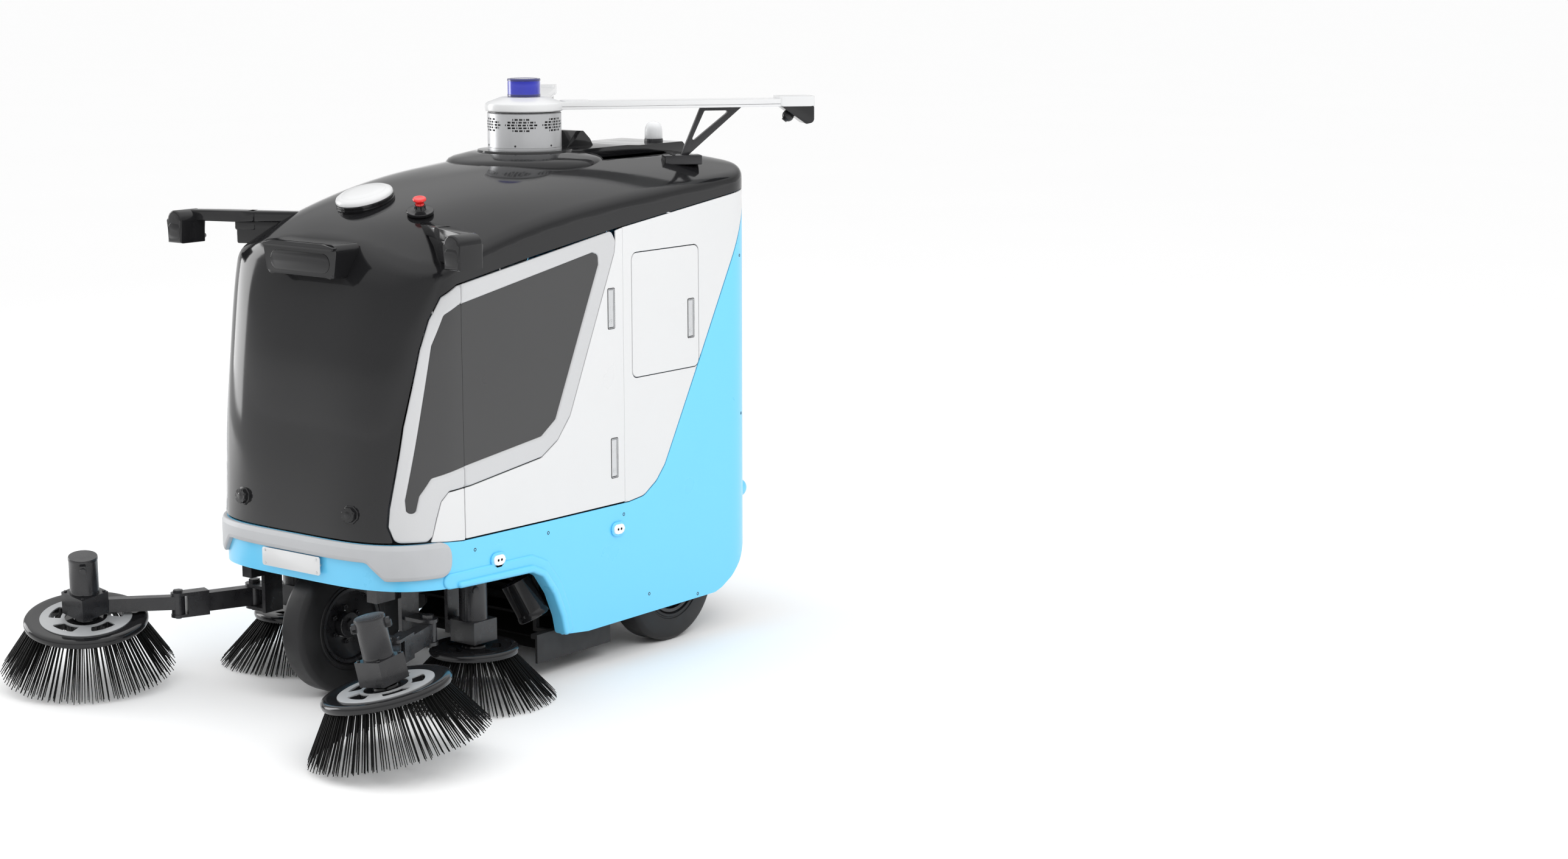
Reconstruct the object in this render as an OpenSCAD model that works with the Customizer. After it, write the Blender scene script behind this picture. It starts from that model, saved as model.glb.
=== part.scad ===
// Autonomous floor sweeper, millimetres.
// Front faces -Y, the machine's left side is +X, Z is up, the ground is z = 0.

/* [Body] */
// half of the body's width
half_w = 430;        // [400:1:460]
// rear face
y_rear = 1030;       // [980:5:1080]
// skin thickness
skin = 4;            // [3:0.5:5]
// gap between panels
gap = 3;             // [2.5:0.5:4]
// shift that puts the origin under the middle of the part
y_mid = 15.29;

/* [Wheels] */
tyre_r = 205;        // [190:1:215]
tyre_w = 92;         // [80:1:96]
rear_tyre_w = 100;   // [80:1:104]
rim_r = 115;         // [100:1:125]
axle_r = 12;         // [8:0.5:16]
// radial running clearance of every shaft
run = 0.05;          // [0.02:0.01:0.1]

/* [Brushes] */
disc_r = 182;        // [160:1:195]
ring_r = 260;        // [240:1:265]
ring_drop = 154;     // [140:1:160]
lean_in = 9;         // [6:0.5:11]
lean_fwd = 7.5;      // [5:0.5:9]
inner_disc_r = 133;  // [110:1:150]
inner_ring_r = 245;  // [200:1:250]
inner_h = 152;       // [145:1:160]
roller_r = 150;      // [130:1:155]

/* [Tower] */
tower_y = 360;
drum_r = 115;        // [100:1:120]
lidar_r = 52;        // [45:1:56]
arm_len = 926;       // [860:1:960]
arm_turn = 39;       // [35:1:42]

/* [Hidden] */
wheel_y = -470;
rear_y = 585;
in_x = 378;
in_y = -302;
root = [370, -480, 238];
elbow = [458, -704, 238];
fbx = 635;
fby = -908;
door_ax = 408;       // hinge axes of the side doors
door_ay = -345;
serv_ay = 405;
rd_ax = 206;         // hinge axis of the rear door
rd_ay = y_rear - 30;
roller_y = 245;
deck_top = 384;
roller_z = roller_r + 3;
lean = acos(cos(lean_in) * cos(lean_fwd));
fbz = ring_drop * cos(lean) + ring_r * sin(lean) + 2.5;

// ---------- body surface ----------
ZF = [[100, -625], [300, -645], [480, -652], [590, -643], [800, -628], [1000, -600],
      [1150, -572], [1237, -550], [1300, -523], [1360, -492], [1430, -455], [1600, -360]];
ZC = [[-700, 1200], [-600, 1270], [-500, 1345], [-460, 1385], [-400, 1423], [-320, 1453],
      [-200, 1485], [-100, 1505], [0, 1520], [200, 1538], [400, 1548], [600, 1550],
      [800, 1545], [950, 1530], [1050, 1500]];
ZE = [[-700, 1150], [-500, 1270], [-300, 1330], [-100, 1375], [100, 1405], [300, 1425],
      [500, 1440], [800, 1462], [1050, 1478]];
function quarter(n) = [for (i = [0 : n]) 90 * i / n];
function sgn(v) = v < 0 ? -1 : 1;
function fr(w, a, t) = [w * sgn(cos(t)) * pow(abs(cos(t)), 2 / 4.2),
                        -400 - a * pow(abs(sin(t)), 2 / 2.2)];
function rr(w, a, t) = [w * sgn(cos(t)) * pow(abs(cos(t)), 2 / 4),
                        y_rear - 180 + a * pow(abs(sin(t)), 2 / 2.2)];
function outline(z, t) = let (a = -400 - lookup(z, ZF) - t, w = half_w - t)
    concat([for (i = [0 : 20]) fr(w, a, i * 9)],
           [for (i = [0 : 16]) rr(w, 180 - t, 180 - i * 11.25)]);
// convex segment between two rings of points
module segment(a, b) let (n = len(a)) hull() polyhedron(concat(a, b), concat([[for (i = [0 : n - 1]) i]],
    [[for (i = [n - 1 : -1 : 0]) n + i]], [for (i = [0 : n - 1]) [i, n + i, n + (i + 1) % n, (i + 1) % n]]));
function level(z, t) = [for (p = outline(z, t)) [p[0], p[1], z]];
module walls(t) for (i = [0 : len(ZF) - 2]) segment(level(ZF[i][0], t), level(ZF[i + 1][0], t));
function crown(y, t) = let (c = lookup(y, ZC), e = lookup(y, ZE))
    concat([[-470, 20]], [for (i = [-8 : 8]) let (u = i / 8)
      [u * 470, c - (c - e) * pow(min(1, abs(u) * 470 / half_w), 2.6) - t]], [[470, 20]]);
function rib(y, t) = [for (p = crown(y, t)) [p[0], y, p[1]]];
module roof(t) for (i = [0 : len(ZC) - 2]) segment(rib(ZC[i][0], t), rib(ZC[i + 1][0], t));
module solid(t) intersection() { walls(t); roof(t); }
module shell(a, b) difference() { solid(a); solid(b); }
module side(p, x0, x1) translate([x0, 0, 0]) rotate([90, 0, 90]) linear_extrude(x1 - x0) polygon(p);

// side view outlines [y, z]
FRAME = [[-396, 1240], [-451, 1210], [-485, 1148], [-511, 1064], [-558, 848], [-594, 615],
         [-599, 562], [-590, 516], [-515, 514], [-500, 528], [-488, 574], [-471, 626],
         [-443, 652], [-354, 657], [-54, 694], [17, 735], [74, 802], [283, 1273],
         [288, 1310], [270, 1339]];
GLASS = [[184, 1281], [-392, 1183], [-445, 1159], [-483, 1075], [-565, 638], [-564, 601],
         [-544, 599], [-533, 648], [-498, 697], [-357, 719], [-53, 756], [10, 798],
         [211, 1243], [209, 1272]];
COWL = [[-720, 514], [-593, 516], [-602, 562], [-597, 615], [-561, 848], [-514, 1064],
        [-488, 1149], [-454, 1213], [-397, 1243], [-70, 1295], [288, 1345], [947, 1423],
        [1060, 1437], [1060, 1700], [-720, 1700]];
SKIRT = [[-720, 380], [-424, 367], [-116, 357], [-72, 336], [-23, 270], [10, 194], [24, 135],
         [145, 122], [763, 125], [800, 136], [850, 163], [901, 206], [962, 280], [994, 370],
         [1012, 440], [1060, 560], [1060, 1434], [992, 1424], [924, 1322], [691, 895],
         [559, 658], [517, 583], [475, 537], [414, 500], [344, 492], [-32, 494],
         [-394, 498], [-494, 509], [-720, 510]];
WHITE = [[-513, 511], [-494, 511], [-394, 501], [-32, 497], [344, 495], [413, 503],
         [473, 540], [515, 586], [557, 661], [688, 897], [921, 1324], [986, 1421],
         [947, 1419], [288, 1341], [-70, 1291], [-400, 1238], [-478, 1120], [-504, 700]];
DOORCUT = [[-379 - gap, 480], [322 + gap, 480], [322 + gap, 1400], [-379 - gap, 1400]];
DOOR = [[-379, 503], [-32, 499], [322, 497.5], [322, 1343], [288, 1338.5], [-70, 1288.5],
        [-379, 1239]];
module round_rect(y0, y1, z0, z1, r) translate([0, 0, 0]) {
  translate([y0 + r, z0]) square([y1 - y0 - 2 * r, z1 - z0]);
  translate([y0, z0 + r]) square([y1 - y0, z1 - z0 - 2 * r]);
  for (y = [y0 + r, y1 - r], z = [z0 + r, z1 - r]) translate([y, z]) circle(r, $fn = 12);
}
module side2d(x0, x1) translate([x0, 0, 0]) rotate([90, 0, 90]) linear_extrude(x1 - x0) children();
module both() { children(); mirror([1, 0, 0]) children(); }
module left_of(r) if (r) mirror([1, 0, 0]) children(); else children();

// ---------- flush paddle latches: y, top z ----------
LU = [268, 1162];
LL = [276, 700];
LS = [648, 1092];
module latch_hole(p) translate([half_w - 26, p[0] - 15.5, p[1] - 121]) cube([40, 31, 124]);
module latch_tray(p) difference() {
  translate([half_w - 24, p[0] - 20, p[1] - 126]) cube([20.5, 40, 134]);
  translate([half_w - 21, p[0] - 15.5, p[1] - 121]) cube([40, 31, 124]);
}
module latch_pin(p) translate([half_w - 5, p[0] - 16.5, p[1] - 5]) rotate([-90, 0, 0])
    cylinder(r = 2, h = 33, $fn = 24);
module paddle(p) difference() {
  union() {
    translate([half_w - 5, p[0] - 14.5, p[1] - 5]) rotate([-90, 0, 0]) cylinder(r = 4.5, h = 29, $fn = 24);
    translate([half_w - 4.5, p[0] - 14.5, p[1] - 118]) cube([4, 29, 113]);
    translate([half_w - 14, p[0] - 9, p[1] - 60]) cube([11, 18, 6]);
  }
  translate([half_w - 5, p[0] - 20, p[1] - 5]) rotate([-90, 0, 0])
    cylinder(r = 2 + run, h = 40, $fn = 24);
}
// ---------- concealed hinges ----------
module knuckle(ay, z) difference() {
  union() {
    translate([door_ax, ay, z]) cylinder(r = 12, h = 40, $fn = 32);
    translate([door_ax, ay - 12, z]) cube([half_w - skin - door_ax + 0.5, 24, 40]);
  }
  translate([door_ax, ay, z - 1]) cylinder(r = 5 + run, h = 42, $fn = 32);
}
module hinge_post(ay, z0, z1, zs) {
  translate([door_ax - 62, ay - 10, z0]) cube([14, 20, z1 - z0]);
  for (z = zs) {
    for (k = [-12.5, 40.5]) translate([door_ax - 50, ay - 7, z + k]) cube([50, 14, 12]);
    for (k = [-12.5, 40.5]) translate([door_ax, ay, z + k]) cylinder(r = 9, h = 12, $fn = 32);
    translate([door_ax, ay, z - 12]) cylinder(r = 5, h = 64, $fn = 32);
  }
}

// ---------- fixed pieces ----------
module chassis() color("dimgray") {
  difference() {
    union() {
      translate([-360, -235, 376]) cube([720, 1195, 8]);
      both() translate([240, -560, 376]) cube([115, 330, 8]);
      both() translate([245, -600, 330]) cube([40, 1560, 46]);
      translate([-285, -530, 452]) cube([570, 120, 12]);
      both() translate([262, -530, 376]) cube([23, 120, 76.5]);
      translate([-285, 940, 330]) cube([570, 20, 46]);
      translate([-285, -600, 430]) cube([570, 20, 34]);
      both() translate([262, -600, 330]) cube([23, 20, 134]);
      // rear axle plates, stubs and nuts
      both() translate([262, rear_y - 45, 160]) cube([20, 90, 216]);
      both() translate([281, rear_y, tyre_r]) rotate([0, 90, 0]) cylinder(r = 15, h = 105, $fn = 40);
      both() translate([384.5, rear_y, tyre_r]) rotate([0, 90, 0]) cylinder(r = 24, h = 8, $fn = 6);
      both() translate([281, rear_y, tyre_r]) rotate([0, 90, 0]) cylinder(r = 30, h = 22.5, $fn = 40);
      // roller end plates
      both() translate([300, roller_y - 60, 90]) cube([10, 120, 290]);
      // front brush brackets
      both() translate([284, root[1] - 35, 200]) cube([14, 70, 176]);
      both() for (k = [[200, 10], [267.5, 10]]) translate([297, root[1] - 28, k[0]]) cube([73, 56, k[1]]);
      both() for (k = [200, 267.5]) translate([root[0], root[1], k]) cylinder(r = 28, h = 10, $fn = 40);
      both() translate([root[0], root[1], 192]) cylinder(r = 10, h = 96, $fn = 32);
      both() translate([root[0], root[1], 277]) cylinder(r = 17, h = 12, $fn = 6);
    }
    translate([0, wheel_y, 440]) cylinder(r = 20 + run, h = 40, $fn = 48);
    both() translate([290, roller_y, roller_z]) rotate([0, 90, 0]) cylinder(r = 15 + run, h = 40, $fn = 48);
    // wheel wells, roller and bin openings in the deck
    both() translate([292, rear_y - 150, 370]) cube([80, 300, 30]);
    translate([-240, roller_y - 160, 300]) cube([480, 320, 120]);
    translate([-240, 430, 300]) cube([480, 500, 120]);
  }
}
// Door posts and roof hoops on the deck, the mast foot, the rear door's hinge post and the tie-down eye.
module bay_frame() color("dimgray") {
  both() hinge_post(door_ay, deck_top, 1300, [560, 1196]);
  both() hinge_post(serv_ay, deck_top, 1380, [930, 1170]);
  both() translate([door_ax - 62, 890, deck_top]) cube([14, 20, 1400 - deck_top]);
  for (q = [[door_ay, 1300], [serv_ay, 1380], [900, 1400]])
    translate([-360, q[0] - 10, q[1]]) cube([720, 20, 24]);
  translate([-60, 300, 1380]) cube([120, 120, 150.5]);
  translate([rd_ax - 7, 936, deck_top]) cube([14, 18, 892]);
  for (z = [520, 1100]) {
    for (k = [-12.5, 40.5]) translate([rd_ax - 7, 950, z + k]) cube([14, rd_ay - 950, 12]);
    for (k = [-12.5, 40.5]) translate([rd_ax, rd_ay, z + k]) cylinder(r = 9, h = 12, $fn = 32);
    translate([rd_ax, rd_ay, z - 12]) cylinder(r = 5, h = 64, $fn = 32);
  }
  difference() {
    translate([-30, 960, 330]) cube([60, 42, 20]);
    translate([0, 981, 329]) cylinder(r = 10, h = 22, $fn = 48);
  }
}
module skirt_shell() color("deepskyblue") {
  difference() {
    intersection() { shell(0, skin); side(SKIRT, -500, 500); }
    for (y = [-250, 285]) both() translate([half_w - 20, y, 418]) rotate([0, 90, 0]) cylinder(r = 22, h = 40, $fn = 24);
    translate([-240 - gap, y_rear - 40, 450 - gap]) cube([480 + 2 * gap, 60, 860 + 2 * gap]);
  }
  // raised lip round the wheel arch
  both() side([[-424, 367], [-116, 357], [-72, 336], [-23, 270], [10, 194], [24, 135], [44, 135],
    [30, 200], [-5, 280], [-58, 350], [-108, 371], [-424, 381]], half_w - 3, half_w + 6);
  both() translate([330, y_rear - 60, 420]) rotate([-90, 0, 0]) cylinder(r1 = 34, r2 = 20, h = 62, $fn = 32);
}
module bumper() color("gainsboro") intersection() {
  shell(-16, -0.5);
  rotate([90, 0, 0]) translate([0, 0, 440]) linear_extrude(280) polygon([[-470, 406], [-330, 406],
    [-285, 458], [285, 458], [330, 406], [470, 406], [470, 509], [-470, 509]]);
}
module number_plate() color("white") difference() {
  number_plate_solid();
  solid(0);
}
module number_plate_solid() {
  translate([-121, -664.5, 402]) cube([242, 3, 54]);
  for (x = [-108, 108], z = [410, 448]) translate([x, -667, z]) rotate([-90, 0, 0])
    cylinder(r = 4, h = 14.2, $fn = 16);
}
module cowl() color("black") {
  difference() {
    intersection() { shell(0, skin); side(COWL, -500, 500); }
    translate([0, tower_y, 1400]) cylinder(r = 90, h = 200, $fn = 32);
  }
}
module side_panels() color("white") both() difference() {
  intersection() { shell(0, skin); side(WHITE, 300, 500); }
  side(FRAME_GAP, 300, 500);
  side(DOORCUT, 300, 500);
  side2d(300, 500) round_rect(366 - gap, 686 + gap, 878 - gap, 1262 + gap, 22);
}
FRAME_GAP = [[-396, 1260], [-460, 1213], [-488, 1149], [-514, 1064], [-561, 848], [-597, 615],
             [-610, 562], [-600, 500], [-515, 500], [-499, 526], [-486, 572], [-469, 624],
             [-443, 649], [-354, 654], [-340, 1260]];
module window_surrounds() color("silver") both() difference() {
  intersection() {
    shell(0, skin);
    side(FRAME, 200, 500);
    translate([0, -900, 0]) cube([500, 521 - gap, 1600]);
  }
  side(GLASS, 200, 500);
}
module quarter_glass() color("dimgray") both() intersection() {
  shell(0.5, skin);
  side(GLASS, 200, 500);
  translate([0, -900, 0]) cube([500, 521 - gap, 1600]);
}
module ultrasonic_sensors() {
  difference() { both() translate([224, -622, 590]) rotate([96, 0, 18]) {
    cylinder(r = 30, h = 12, $fn = 8);
    translate([0, 0, 12]) cylinder(r1 = 30, r2 = 19, h = 12, $fn = 8);
  } solid(0); }
  for (y = [-250, 285]) both() translate([half_w - 8, y, 418]) rotate([0, 90, 0]) {
    cylinder(r = 21.5, h = 11, $fn = 24);
  }
}
module visor_sensor() difference() {
  translate([-175, 0, 0]) rotate([90, 0, 90]) linear_extrude(350) polygon([[-553, 1250],
    [-590, 1256], [-594, 1330], [-604, 1344], [-598, 1352], [-480, 1352], [-500, 1250]]);
  solid(0);
}
module front_sensors() color("black") {
  ultrasonic_sensors();
  visor_sensor();
}
module ear_cameras() color("black") both() {
  difference() { translate([372, -430, 1372]) rotate([0, 0, -25]) cube([215, 58, 34]); solid(0); }
  translate([545, -565, 1308]) cube([62, 96, 98]);
  translate([576, -460, 1322]) sphere(r = 13, $fn = 16);
}
module gnss_antenna() color("white") difference() {
  translate([0, -327, 1448]) rotate([17, 0, 0]) {
    cylinder(r = 80, h = 36, $fn = 48);
    translate([0, 0, -8]) cylinder(r = 88, h = 24, $fn = 48);
  }
  solid(0);
}
module estop_collar() color("gray") difference() {
  translate([222, -325, 1424]) rotate([15, 12, 0]) difference() {
    union() { cylinder(r = 40, h = 14, $fn = 48); cylinder(r = 17, h = 30, $fn = 48); }
    translate([0, 0, 12]) cylinder(r = 11 + run, h = 30, $fn = 64);
  }
  solid(0);
}
module estop_button() color("red") translate([222, -325, 1424]) rotate([15, 12, 0]) {
  translate([0, 0, 18]) cylinder(r = 11, h = 28, $fn = 64);
  translate([0, 0, 38]) cylinder(r = 20, h = 14, $fn = 48);
}
module saucer() color("black") {
  difference() {
    union() {
      translate([0, tower_y, 1524]) cylinder(r = 245, h = 14, $fn = 64);
      translate([0, tower_y, 1538]) cylinder(r1 = 245, r2 = 165, h = 22, $fn = 64);
      side([[tower_y, 1520], [tower_y, 1559], [700, 1560], [760, 1556], [985, 1556], [1010, 1500]], -130, 130);
      side([[510, 1558], [560, 1612], [590, 1608], [625, 1580], [640, 1558]], -40, 40);
    }
    translate([0, tower_y, 1500]) cylinder(r = 86, h = 30.5, $fn = 48);
    solid(0);
  }
}
module tower_drum() color("silver") {
  difference() {
    translate([0, tower_y, 1560]) cylinder(r = drum_r, h = 120, $fn = 96);
    translate([0, tower_y, 1565]) cylinder(r = drum_r - 3, h = 110, $fn = 96);
    // vents
    for (s = [0 : 11]) rotate([0, 0, 0]) translate([0, tower_y, 0]) rotate([0, 0, s * 30 + 15])
      for (k = [0 : 2]) translate([drum_r - 10, -18, 1622 + k * 11]) cube([20, 36, 4]);
  }
}
module tower_cap() color("white") difference() {
  union() {
    translate([0, tower_y, 1680]) cylinder(r = 122, h = 26, $fn = 96);
    translate([0, tower_y, 1706]) cylinder(r1 = 122, r2 = 74, h = 18, $fn = 96);
    both() translate([0, tower_y, 0]) rotate([0, 0, -arm_turn]) {
      translate([-52, 0, 1684]) cube([104, arm_len - 115, 24]);
      translate([-52, arm_len - 116, 1684]) cube([104, 120, 32]);
    }
  }
  translate([0, tower_y, 1690]) cylinder(r = 30, h = 40, $fn = 48);
}
module lidar_housing() color("blue") {
  difference() {
    translate([0, tower_y, 1724]) cylinder(r = lidar_r, h = 56, $fn = 64);
    translate([0, tower_y, 1734]) cylinder(r = lidar_r - 5, h = 40, $fn = 64);
  }
  translate([0, tower_y, 1733]) cylinder(r = 6 - run, h = 24, $fn = 40);
}
module lidar_rotor() color("black") difference() {
  translate([0, tower_y, 1738]) cylinder(r = 34, h = 32, $fn = 6);
  translate([0, tower_y, 1730]) cylinder(r = 6, h = 30, $fn = 40);
}
module arm_cameras() color("black") both() translate([0, tower_y, 0]) rotate([0, 0, -arm_turn]) {
  translate([0, arm_len - 112, 0]) side([[0, 1684], [108, 1684], [108, 1626], [84, 1626]], -40, 40);
  translate([0, arm_len - 82, 1652]) sphere(r = 18, $fn = 32);
}
module struts() color("dimgray") both() translate([0, tower_y, 0]) rotate([0, 0, -arm_turn]) {
  difference() {
    side([[495, 1530], [560, 1684], [695, 1684], [517, 1530]], -9, 9);
    side([[524, 1568], [572, 1672], [655, 1672]], -10, 10);
  }
  difference() { translate([-30, 440, 1490]) cube([60, 120, 44]); rotate([0, 0, arm_turn]) translate([0, -tower_y, 0]) solid(0); }
}
module beacon() color("white") translate([45, 930, 1556]) {
  cylinder(r = 30, h = 34, $fn = 48);
  translate([0, 0, 34]) scale([1, 1, 1]) sphere(r = 30, $fn = 48);
}
module battery() color("gray") translate([-230, -180, 384]) cube([460, 240, 260]);
module dust_bin() color("gray") {
  difference() {
    translate([-252, 418, 384]) cube([504, 516, 6]);
    translate([-229, 438, 380]) cube([458, 441, 20]);
  }
  bin_box();
}
module bin_box() difference() {
  translate([-235, 432, 215]) cube([470, 453, 385]);
  translate([-229, 438, 221]) cube([458, 441, 400]);
  translate([-229, 425, 235]) cube([458, 20, 130]);
}
module fan_unit() color("black") {
  difference() {
    translate([-180, -170, 644]) cube([360, 220, 200]);
    translate([0, -60, 660]) cylinder(r = 95, h = 200, $fn = 48);
  }
  both() {
    translate([372, -35, 196]) rotate([14, -24, 0]) difference() {
      cylinder(r = 47, h = 120, $fn = 48);
      translate([0, 0, -1]) cylinder(r = 43, h = 111, $fn = 48);
    }
    translate([285, -74, 306]) cube([38, 20, 44]);
  }
}
module inner_motors() color("black") both() {
  difference() {
    translate([in_x - 48, in_y - 48, inner_h + 26]) cube([96, 96, 66]);
    translate([in_x - 40, in_y - 40, inner_h + 20]) cube([80, 80, 40]);
  }
  translate([in_x, in_y, inner_h + 90]) cylinder(r = 41, h = 130, $fn = 48);
  translate([in_x, in_y, inner_h - 27]) cylinder(r = 10, h = 118, $fn = 40);
  translate([in_x, in_y, inner_h - 27]) cylinder(r = 17, h = 6, $fn = 40);
  translate([285, in_y - 25, inner_h + 40]) cube([in_x - 333 + 1, 50, 40]);
  translate([285, in_y - 25, inner_h + 40]) cube([12, 50, 166]);
}
module flaps() color("black") both() {
  translate([384, -45, 52]) cube([8, 335, 76]);
  translate([366, -45, 127]) cube([26, 335, 14]);
  translate([310, 26, 128]) cube([57, 14, 12]);
  translate([310, 26, 128]) cube([14, 14, 248]);
  translate([310, 262, 128]) cube([57, 14, 12]);
}
// ---------- doors ----------
module door_body() {
  difference() {
    intersection() { shell(0, skin); side(DOOR, 300, 500); }
    side(GLASS, 300, 500);
    latch_hole(LU);
    latch_hole(LL);
  }
  for (p = [LU, LL]) { latch_tray(p); latch_pin(p); }
  for (z = [560, 1196]) knuckle(door_ay, z);
}
module door_glass() intersection() {
  shell(0.5, skin);
  side(GLASS, 300, 500);
  translate([0, -379, 0]) cube([500, 900, 1600]);
}
module service_body() {
  difference() {
    intersection() {
      shell(0, skin);
      side2d(300, 500) round_rect(366, 686, 878, 1262, 22);
    }
    latch_hole(LS);
  }
  latch_tray(LS);
  latch_pin(LS);
  for (z = [930, 1170]) knuckle(serv_ay, z);
}
module door_left() color("white") door_body();
module door_right() color("white") mirror([1, 0, 0]) door_body();
module door_glass_left() color("dimgray") door_glass();
module door_glass_right() color("dimgray") mirror([1, 0, 0]) door_glass();
module latch_lu() color("silver") paddle(LU);
module latch_ll() color("silver") paddle(LL);
module latch_ru() color("silver") mirror([1, 0, 0]) paddle(LU);
module latch_rl() color("silver") mirror([1, 0, 0]) paddle(LL);
module service_left() color("white") service_body();
module service_right() color("white") mirror([1, 0, 0]) service_body();
module service_latch_left() color("silver") paddle(LS);
module service_latch_right() color("silver") mirror([1, 0, 0]) paddle(LS);
module rear_door() color("deepskyblue") {
  intersection() {
    shell(0, skin);
    translate([-240, y_rear - 40, 450]) cube([480, 60, 860]);
  }
  for (z = [520, 1100]) difference() {
    union() {
      translate([rd_ax, rd_ay, z]) cylinder(r = 12, h = 40, $fn = 32);
      translate([rd_ax - 12, rd_ay, z]) cube([24, 22, 40]);
    }
    translate([rd_ax, rd_ay, z - 1]) cylinder(r = 5 + run, h = 42, $fn = 32);
  }
  translate([-170, y_rear - 1, 860]) cube([110, 8, 24]);
}
// ---------- wheels ----------
module fork() color("dimgray") {
  translate([0, wheel_y, 440]) cylinder(r = 20, h = 52, $fn = 48);
  translate([0, wheel_y, 464.5]) cylinder(r = 32, h = 12, $fn = 40);
  translate([-66, wheel_y - 45, 424]) cube([120, 90, 27.5]);
  translate([-66, wheel_y - 30, tyre_r - 35]) cube([14, 60, 256]);
  translate([-53, wheel_y, tyre_r]) rotate([0, 90, 0]) cylinder(r = axle_r, h = 96, $fn = 40);
  translate([36.5, wheel_y, tyre_r]) rotate([0, 90, 0]) cylinder(r = 20, h = 7, $fn = 6);
}
module rim(w, bore, h0, h1) rotate([0, 90, 0]) difference() {
  union() {
    rotate_extrude($fn = 64) polygon([[rim_r - 12, -w / 2 + 4], [rim_r, -w / 2 + 4], [rim_r, w / 2 - 4],
      [rim_r - 12, w / 2 - 4]]);
    translate([0, 0, -6]) cylinder(r = rim_r - 11, h = 12, $fn = 64);
    translate([0, 0, h0]) cylinder(r = 38, h = h1 - h0, $fn = 48);
  }
  translate([0, 0, -80]) cylinder(r = bore + run, h = 160, $fn = 48);
}
module tyre(w) rotate([0, 90, 0]) rotate_extrude($fn = 96) polygon([[rim_r, -w / 2 + 6], [rim_r + 8, -w / 2],
  [tyre_r - 16, -w / 2], [tyre_r - 5, -w / 2 + 5], [tyre_r, -w / 2 + 16], [tyre_r, w / 2 - 16],
  [tyre_r - 5, w / 2 - 5], [tyre_r - 16, w / 2], [rim_r + 8, w / 2], [rim_r, w / 2 - 6]]);
module front_rim() color("gray") translate([0, wheel_y, tyre_r]) rim(tyre_w, axle_r, -50, 36);
module front_tyre() color("black") translate([0, wheel_y, tyre_r]) tyre(tyre_w);
module rear_rim_left() color("gray") translate([354, rear_y, tyre_r]) rim(rear_tyre_w, 15, -50, 30);
module rear_rim_right() color("gray") mirror([1, 0, 0]) translate([354, rear_y, tyre_r])
    rim(rear_tyre_w, 15, -50, 30);
module rear_tyre_left() color("black") translate([354, rear_y, tyre_r]) tyre(rear_tyre_w);
module rear_tyre_right() color("black") mirror([1, 0, 0]) translate([354, rear_y, tyre_r]) tyre(rear_tyre_w);
// ---------- front brush arms ----------
link_len = norm([elbow[0] - root[0], elbow[1] - root[1]]);
link_ang = atan2(elbow[1] - root[1], elbow[0] - root[0]);
module link() translate(root) rotate([0, 0, link_ang]) {
  difference() {
    union() {
      translate([0, 0, -27]) cylinder(r = 24, h = 56, $fn = 40);
      translate([0, -20, -27]) cube([link_len - 62, 40, 56]);
      for (k = [-37, 29]) translate([link_len - 90, -22, k]) cube([90, 44, 9]);
      translate([link_len - 90, -22, -37]) cube([66, 44, 75]);
      for (k = [-37, 29]) translate([link_len, 0, k]) cylinder(r = 22, h = 9, $fn = 40);
      translate([link_len, 0, -42]) cylinder(r = 9, h = 88, $fn = 32);
      translate([link_len, 0, 38]) cylinder(r = 15, h = 8, $fn = 6);
    }
    translate([0, 0, -50]) cylinder(r = 10 + run, h = 100, $fn = 40);
  }
}
bx = fbx - 32;
by = fby + 50;
arm_l2 = norm([bx - elbow[0], by - elbow[1]]);
arm_a2 = atan2(by - elbow[1], bx - elbow[0]);
nx = -sin(lean_in);
ny = -sin(lean_fwd);
nz = sqrt(1 - nx * nx - ny * ny);
lean_az = atan2(ny, nx);
lean_tilt = acos(nz);
module leaning() translate([fbx, fby, fbz]) rotate([0, 0, lean_az]) rotate([0, lean_tilt, 0])
    rotate([0, 0, -lean_az]) children();
module brush_arm() {
  difference() {
    union() {
      translate([elbow[0], elbow[1], 238]) cylinder(r = 20, h = 28.5, $fn = 40);
      translate([elbow[0], elbow[1], 210.5]) cylinder(r = 20, h = 29, $fn = 40);
      translate([elbow[0], elbow[1], 238]) rotate([0, 0, arm_a2]) translate([8, -18, -12]) cube([arm_l2 + 2, 36, 40]);
    }
    translate([elbow[0], elbow[1], 200]) cylinder(r = 9 + run, h = 80, $fn = 40);
  }
  leaning() {
    difference() {
      translate([-48, -48, 22]) cube([96, 96, 70]);
      translate([-38, -38, 16]) cube([76, 76, 62]);
    }
    translate([0, 0, 90]) cylinder(r = 42, h = 118, $fn = 48);
    translate([0, 0, -27]) cylinder(r = 10, h = 118, $fn = 40);
    translate([0, 0, -27]) cylinder(r = 17, h = 6, $fn = 40);
    for (a = [0, 180]) rotate([0, 0, a + 40]) translate([38, -9, 170]) cube([14, 18, 26]);
  }
}
module disc(r, h) difference() {
  union() {
    translate([0, 0, -14]) cylinder(r1 = r - 12, r2 = r, h = 8, $fn = 96);
    translate([0, 0, -6]) cylinder(r = r, h = 14, $fn = 96);
    translate([0, 0, 8]) cylinder(r1 = r, r2 = r - 8, h = 4, $fn = 96);
    translate([0, 0, -20]) cylinder(r = 34, h = 34, $fn = 48);
  }
  for (a = [0 : 3]) rotate([0, 0, a * 90 + 20]) translate([0.38 * r, -0.15 * r, -30])
    cube([0.2 * r, 0.3 * r, 60]);
  translate([0, 0, -30]) cylinder(r = 10 + run, h = 60, $fn = 48);
}
module front_disc() leaning() disc(disc_r, 0);
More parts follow.
